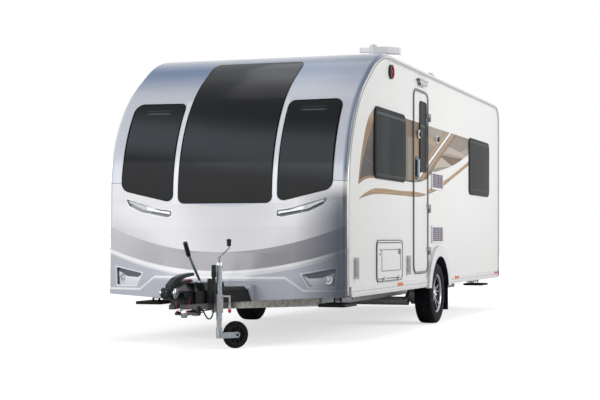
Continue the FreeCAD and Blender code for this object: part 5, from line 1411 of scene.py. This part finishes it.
class CARAVAN_OT_hitch(CaravanOperator):
    """Finish the coupling, drawbar cover and handbrake, and add the brake gear and friction discs"""

    bl_idname = "caravan.hitch"
    bl_label = "Hitch"

    def execute(self, context):
        cast = finish_plain("cast_black", (0.011, 0.012, 0.016), 0.32, 60.0, 0.0006)
        dress(cast, "hitch_housing", "coupling_head", "coupling_lever")
        cover = Finish("cover_plastic", (0.002, 0.0025, 0.005), 0.3, specular_ior_level=0.22)
        cover.mottle(8.0, 0.3, 0.7)
        dress(cover.sheen_drift(10.0, 0.22, 0.34).material, "drawbar_cover")
        zinc = Finish("blue_zinc", (0.30, 0.38, 0.43), 0.35, metallic=0.75)
        zinc.mottle(40.0, 0.5, 0.7)
        dress(zinc.sheen_drift(60.0, 0.28, 0.42).material, "handbrake_lever")
        self.brake_grip()
        self.discs()
        self.tips()
        self.brake_gear()
        return {"FINISHED"}

    def brake_grip(self):
        """Ribbed black grip on the handbrake's upper end."""
        foot, tip = Vector((0, st(-0.730), 0.7626)), Vector((0, st(-0.800), 0.8660))
        along = tip - foot
        shape = bmesh.new()
        profile = [(-0.004, 0.0), (-0.004, 0.0165), (0.0, 0.0184)]
        for i in range(8):
            start = 0.010 + i * 0.0130
            profile += [(start, 0.0184), (start + 0.002, 0.0172), (start + 0.004, 0.0184)]
        profile += [(along.length - 0.003, 0.0184), (along.length + 0.002, 0.015),
                    (along.length + 0.002, 0.0)]
        lathe(shape, profile, foot, along.normalized(), 28)
        piece("handbrake_grip", shape, finish_plain("grip_black", (0.008, 0.008, 0.009), 0.5))

    def discs(self):
        """Plated caps of the stabiliser's friction pads, each with its nut."""
        shape = bmesh.new()
        for way in (-1, 1):
            centre = (way * 0.052, st(-1.105), 0.470)
            lathe(shape,
                  [(0.0, 0.0), (0.0, 0.0436), (0.0085, 0.0436), (0.0135, 0.037), (0.0160, 0.024),
                   (0.0160, 0.0)], centre, ALONG_X * way, 48)
            rod(shape, Vector(centre) + ALONG_X * way * 0.015, Vector(centre) + ALONG_X * way * 0.025, 0.011,
                6)
        piece("friction_discs", shape, finish_chrome("disc_plating", (0.30, 0.31, 0.33)))

    def tips(self):
        """Red tips of both handles and the red wear mark on the head."""
        shape = bmesh.new()
        block(shape, (-0.0246, st(-0.704), 0.5955), (0.0246, st(-0.670), 0.6080), 0.002)
        block(shape, (-0.0346, st(-0.760), 0.5450), (0.0346, st(-0.7245), 0.5690), 0.002)
        for way in (-1, 1):
            rod(shape, (way * 0.030, st(-1.030), 0.500), (way * 0.0405, st(-1.030), 0.500), 0.010, 20)
        piece("red_marks", shape, finish_plain("mark_red", (0.62, 0.012, 0.02), 0.4))

    def brake_gear(self):
        """Spring, plates, cables and the long rod below the housing."""
        bright, dark = bmesh.new(), bmesh.new()
        wire = [(0.0028 * math.cos(math.tau * i / 6), 0.0185 + 0.0028 * math.sin(math.tau * i / 6))
                for i in range(6)]
        for turn in range(12):
            lathe(bright, wire, (0.040, st(-0.880) + 0.0140 * turn, 0.302), ALONG_Y, 20)
        rod(bright, (0.040, st(-0.900), 0.302), (0.040, st(-0.690), 0.302), 0.007, 16)
        for x, station, wide, foot in ((0.040, -0.702, 0.024, 0.272), (-0.026, -0.820, 0.020, 0.280),
                                       (0.034, -0.895, 0.026, 0.266), (0.020, -0.650, 0.030, 0.280)):
            block(bright, (x - wide, st(station) - 0.003, foot), (x + wide, st(station) + 0.003, 0.324),
                  0.001)
            rod(bright, (x, st(station) - 0.008, foot + 0.016), (x, st(station) + 0.008, foot + 0.016), 0.009,
                6)
        rod(dark, (0.0, st(-0.520), 0.302), (0.0, st(3.000), 0.302), 0.006, 12)
        rod(dark, (-0.024, st(-0.920), 0.300), (-0.024, st(-0.520), 0.302), 0.013, 16)
        for x in (-0.060, 0.062):
            rod(dark, (x, st(-0.840), 0.312), (x * 1.2, st(-0.620), 0.296), 0.0045, 10)
        for station in (-0.655, -0.625, -0.595):
            lathe(dark, [(-0.005, 0.0), (-0.005, 0.022), (0.005, 0.022), (0.005, 0.0)],
                  (0.036, st(station), 0.290), ALONG_X, 24)
        piece("brake_gear_bright", bright, finish_chrome("gear_plating", (0.24, 0.25, 0.27)))
        piece("brake_gear_dark", dark, finish_plain("gear_dark", (0.03, 0.032, 0.036), 0.45))


class CARAVAN_OT_jockey(CaravanOperator):
    """Make the jockey wheel and finish its tube, clamp and fork"""

    bl_idname = "caravan.jockey"
    bl_label = "Jockey wheel"

    def execute(self, context):
        steel = finish_galvanised()
        bright = Finish("bright_zinc", (0.40, 0.44, 0.48), 0.3, metallic=0.8)
        bright.mottle(30.0, 0.5, 0.75)
        bright.tint((0.16, 0.21, 0.24), bright.above(bright.axes()[2], 0.704))
        bright = bright.sheen_drift(50.0, 0.22, 0.4).material
        dress(steel, "jack_clamp", "jack_inner")
        dress(bright, "jack_tube", "jack_fork")
        self.grips()
        centre = middle("jockey_wheel")
        axle = Vector((math.sin(JOCKEY_TURN), math.cos(JOCKEY_TURN), 0))
        self.tyre(centre, axle)
        self.hub(centre, axle)
        self.pin(centre, axle)
        return {"FINISHED"}

    def tyre(self, centre, axle):
        """Solid rubber tyre, which stands on the ground."""
        half, outer = JOCKEY_HALF, centre.z
        shape = bmesh.new()
        tyre = [(-0.020, 0.078), (-half + 0.001, 0.086), (-half + 0.001, outer - 0.013),
                (-0.019, outer - 0.004), (-0.009, outer - 0.0004), (0.009, outer - 0.0004),
                (0.019, outer - 0.004), (half - 0.001, outer - 0.013), (half - 0.001, 0.086), (0.020, 0.078)]
        lathe(shape, tyre, centre, axle, 96)
        piece("jockey_tyre", shape, finish_rubber(), "jockey_roller",
              replaces=["jockey_wheel"])

    def hub(self, centre, axle):
        """Plastic hub: bush, rim and web, with eight ribs."""
        half = JOCKEY_HALF
        shape = bmesh.new()
        lathe(shape,
              [(-half, 0.0085), (-half, 0.030), (-0.020, 0.034), (0.020, 0.034), (half, 0.030),
               (half, 0.0085)], centre, axle, 48)
        lathe(shape, [(-0.021, 0.070), (-0.021, 0.0795), (0.021, 0.0795), (0.021, 0.070)], centre, axle, 72)
        lathe(shape, [(-0.003, 0.030), (-0.003, 0.072), (0.003, 0.072), (0.003, 0.030)], centre, axle, 72)
        across = axle.cross(ALONG_Z)
        for i in range(HUB_RIBS):
            turn = math.tau * (i + 0.5) / HUB_RIBS
            out = across * math.cos(turn) + ALONG_Z * math.sin(turn)
            side = axle.cross(out)
            before = set(shape.faces)
            plate(shape, rectangle(0.030, 0.073, -0.0025, 0.0025, 0),
                  lambda a, b: centre + out * a + side * b - axle * 0.019, axle * 0.038)
            soften_corners(shape, before, 0.0008, 1)
        piece("jockey_hub", shape, finish_plain("hub_plastic", (0.012, 0.012, 0.014), 0.45), "jockey_roller")

    def pin(self, centre, axle):
        """Ends of the pin that the wheel turns on."""
        shape = bmesh.new()
        for way in (-1, 1):
            spot = centre + axle * way * 0.0362
            rod(shape, spot, spot + axle * way * 0.006, 0.0105, 20)
        piece("jockey_pin", shape, finish_plain("pin_black", (0.010, 0.010, 0.012), 0.4), "jockey_fork")

    def grips(self):
        """Black knob of the crank, red knob of the clamp and the tube's rolled cap."""
        x, y = JACK
        shape = bmesh.new()
        lathe(shape,
              [(-0.001, 0.0), (-0.001, 0.013), (0.006, 0.0185), (0.022, 0.0170), (0.044, 0.0195),
               (0.056, 0.0165), (0.0590, 0.0)], (x + 0.086, y, 0.838), ALONG_Z, 28)
        piece("crank_knob", shape, finish_plain("knob_black", (0.008, 0.008, 0.009), 0.45))
        shape = bmesh.new()
        lathe(shape,
              [(-0.001, 0.0), (-0.001, 0.0095), (0.007, 0.0132), (0.024, 0.0132), (0.036, 0.0100),
               (0.0415, 0.0085), (0.0415, 0.0)], (x + 0.092, y, 0.297), ALONG_Z, 28)
        piece("clamp_knob", shape, finish_plain("knob_red", (0.66, 0.015, 0.03), 0.35))
        shape = bmesh.new()
        lathe(shape,
              [(0.0, 0.0242), (0.0, 0.0268), (0.006, 0.0275), (0.026, 0.0275), (0.031, 0.0250),
               (0.0325, 0.0185), (0.0325, 0.0075), (0.028, 0.0075), (0.028, 0.0242)], (x, y, 0.671), ALONG_Z,
              48)
        piece("jack_cap", shape, finish_chrome("cap_plating"))


class CARAVAN_PT_panel(bpy.types.Panel):
    """Lists the caravan's steps in the sidebar"""

    bl_label = "Touring Caravan"
    bl_idname = "CARAVAN_PT_panel"
    bl_space_type = "VIEW_3D"
    bl_region_type = "UI"
    bl_category = "Caravan"

    def draw(self, context):
        layout = self.layout
        for step in STEPS:
            layout.operator(step.bl_idname)
        for group in (context.scene.caravan_colours, context.scene.caravan_sizes):
            for key in group.__annotations__:
                layout.prop(group, key)


STEPS = (
    CARAVAN_OT_camera,
    CARAVAN_OT_leads,
    CARAVAN_OT_stage,
    CARAVAN_OT_shell,
    CARAVAN_OT_rails,
    CARAVAN_OT_glazing,
    CARAVAN_OT_lamps,
    CARAVAN_OT_door,
    CARAVAN_OT_locker,
    CARAVAN_OT_fittings,
    CARAVAN_OT_wheels,
    CARAVAN_OT_chassis,
    CARAVAN_OT_hitch,
    CARAVAN_OT_jockey,
)
CLASSES = (CaravanColours, CaravanSizes, *STEPS, CARAVAN_PT_panel)


def register():
    for cls in CLASSES:
        bpy.utils.register_class(cls)
    bpy.types.Scene.caravan_colours = PointerProperty(type=CaravanColours)
    bpy.types.Scene.caravan_sizes = PointerProperty(type=CaravanSizes)


def unregister():
    del bpy.types.Scene.caravan_sizes
    del bpy.types.Scene.caravan_colours
    for cls in reversed(CLASSES):
        bpy.utils.unregister_class(cls)


def main():
    register()
    for step in STEPS:
        group, name = step.bl_idname.split(".")
        getattr(getattr(bpy.ops, group), name)()


if __name__ == "__main__":
    main()
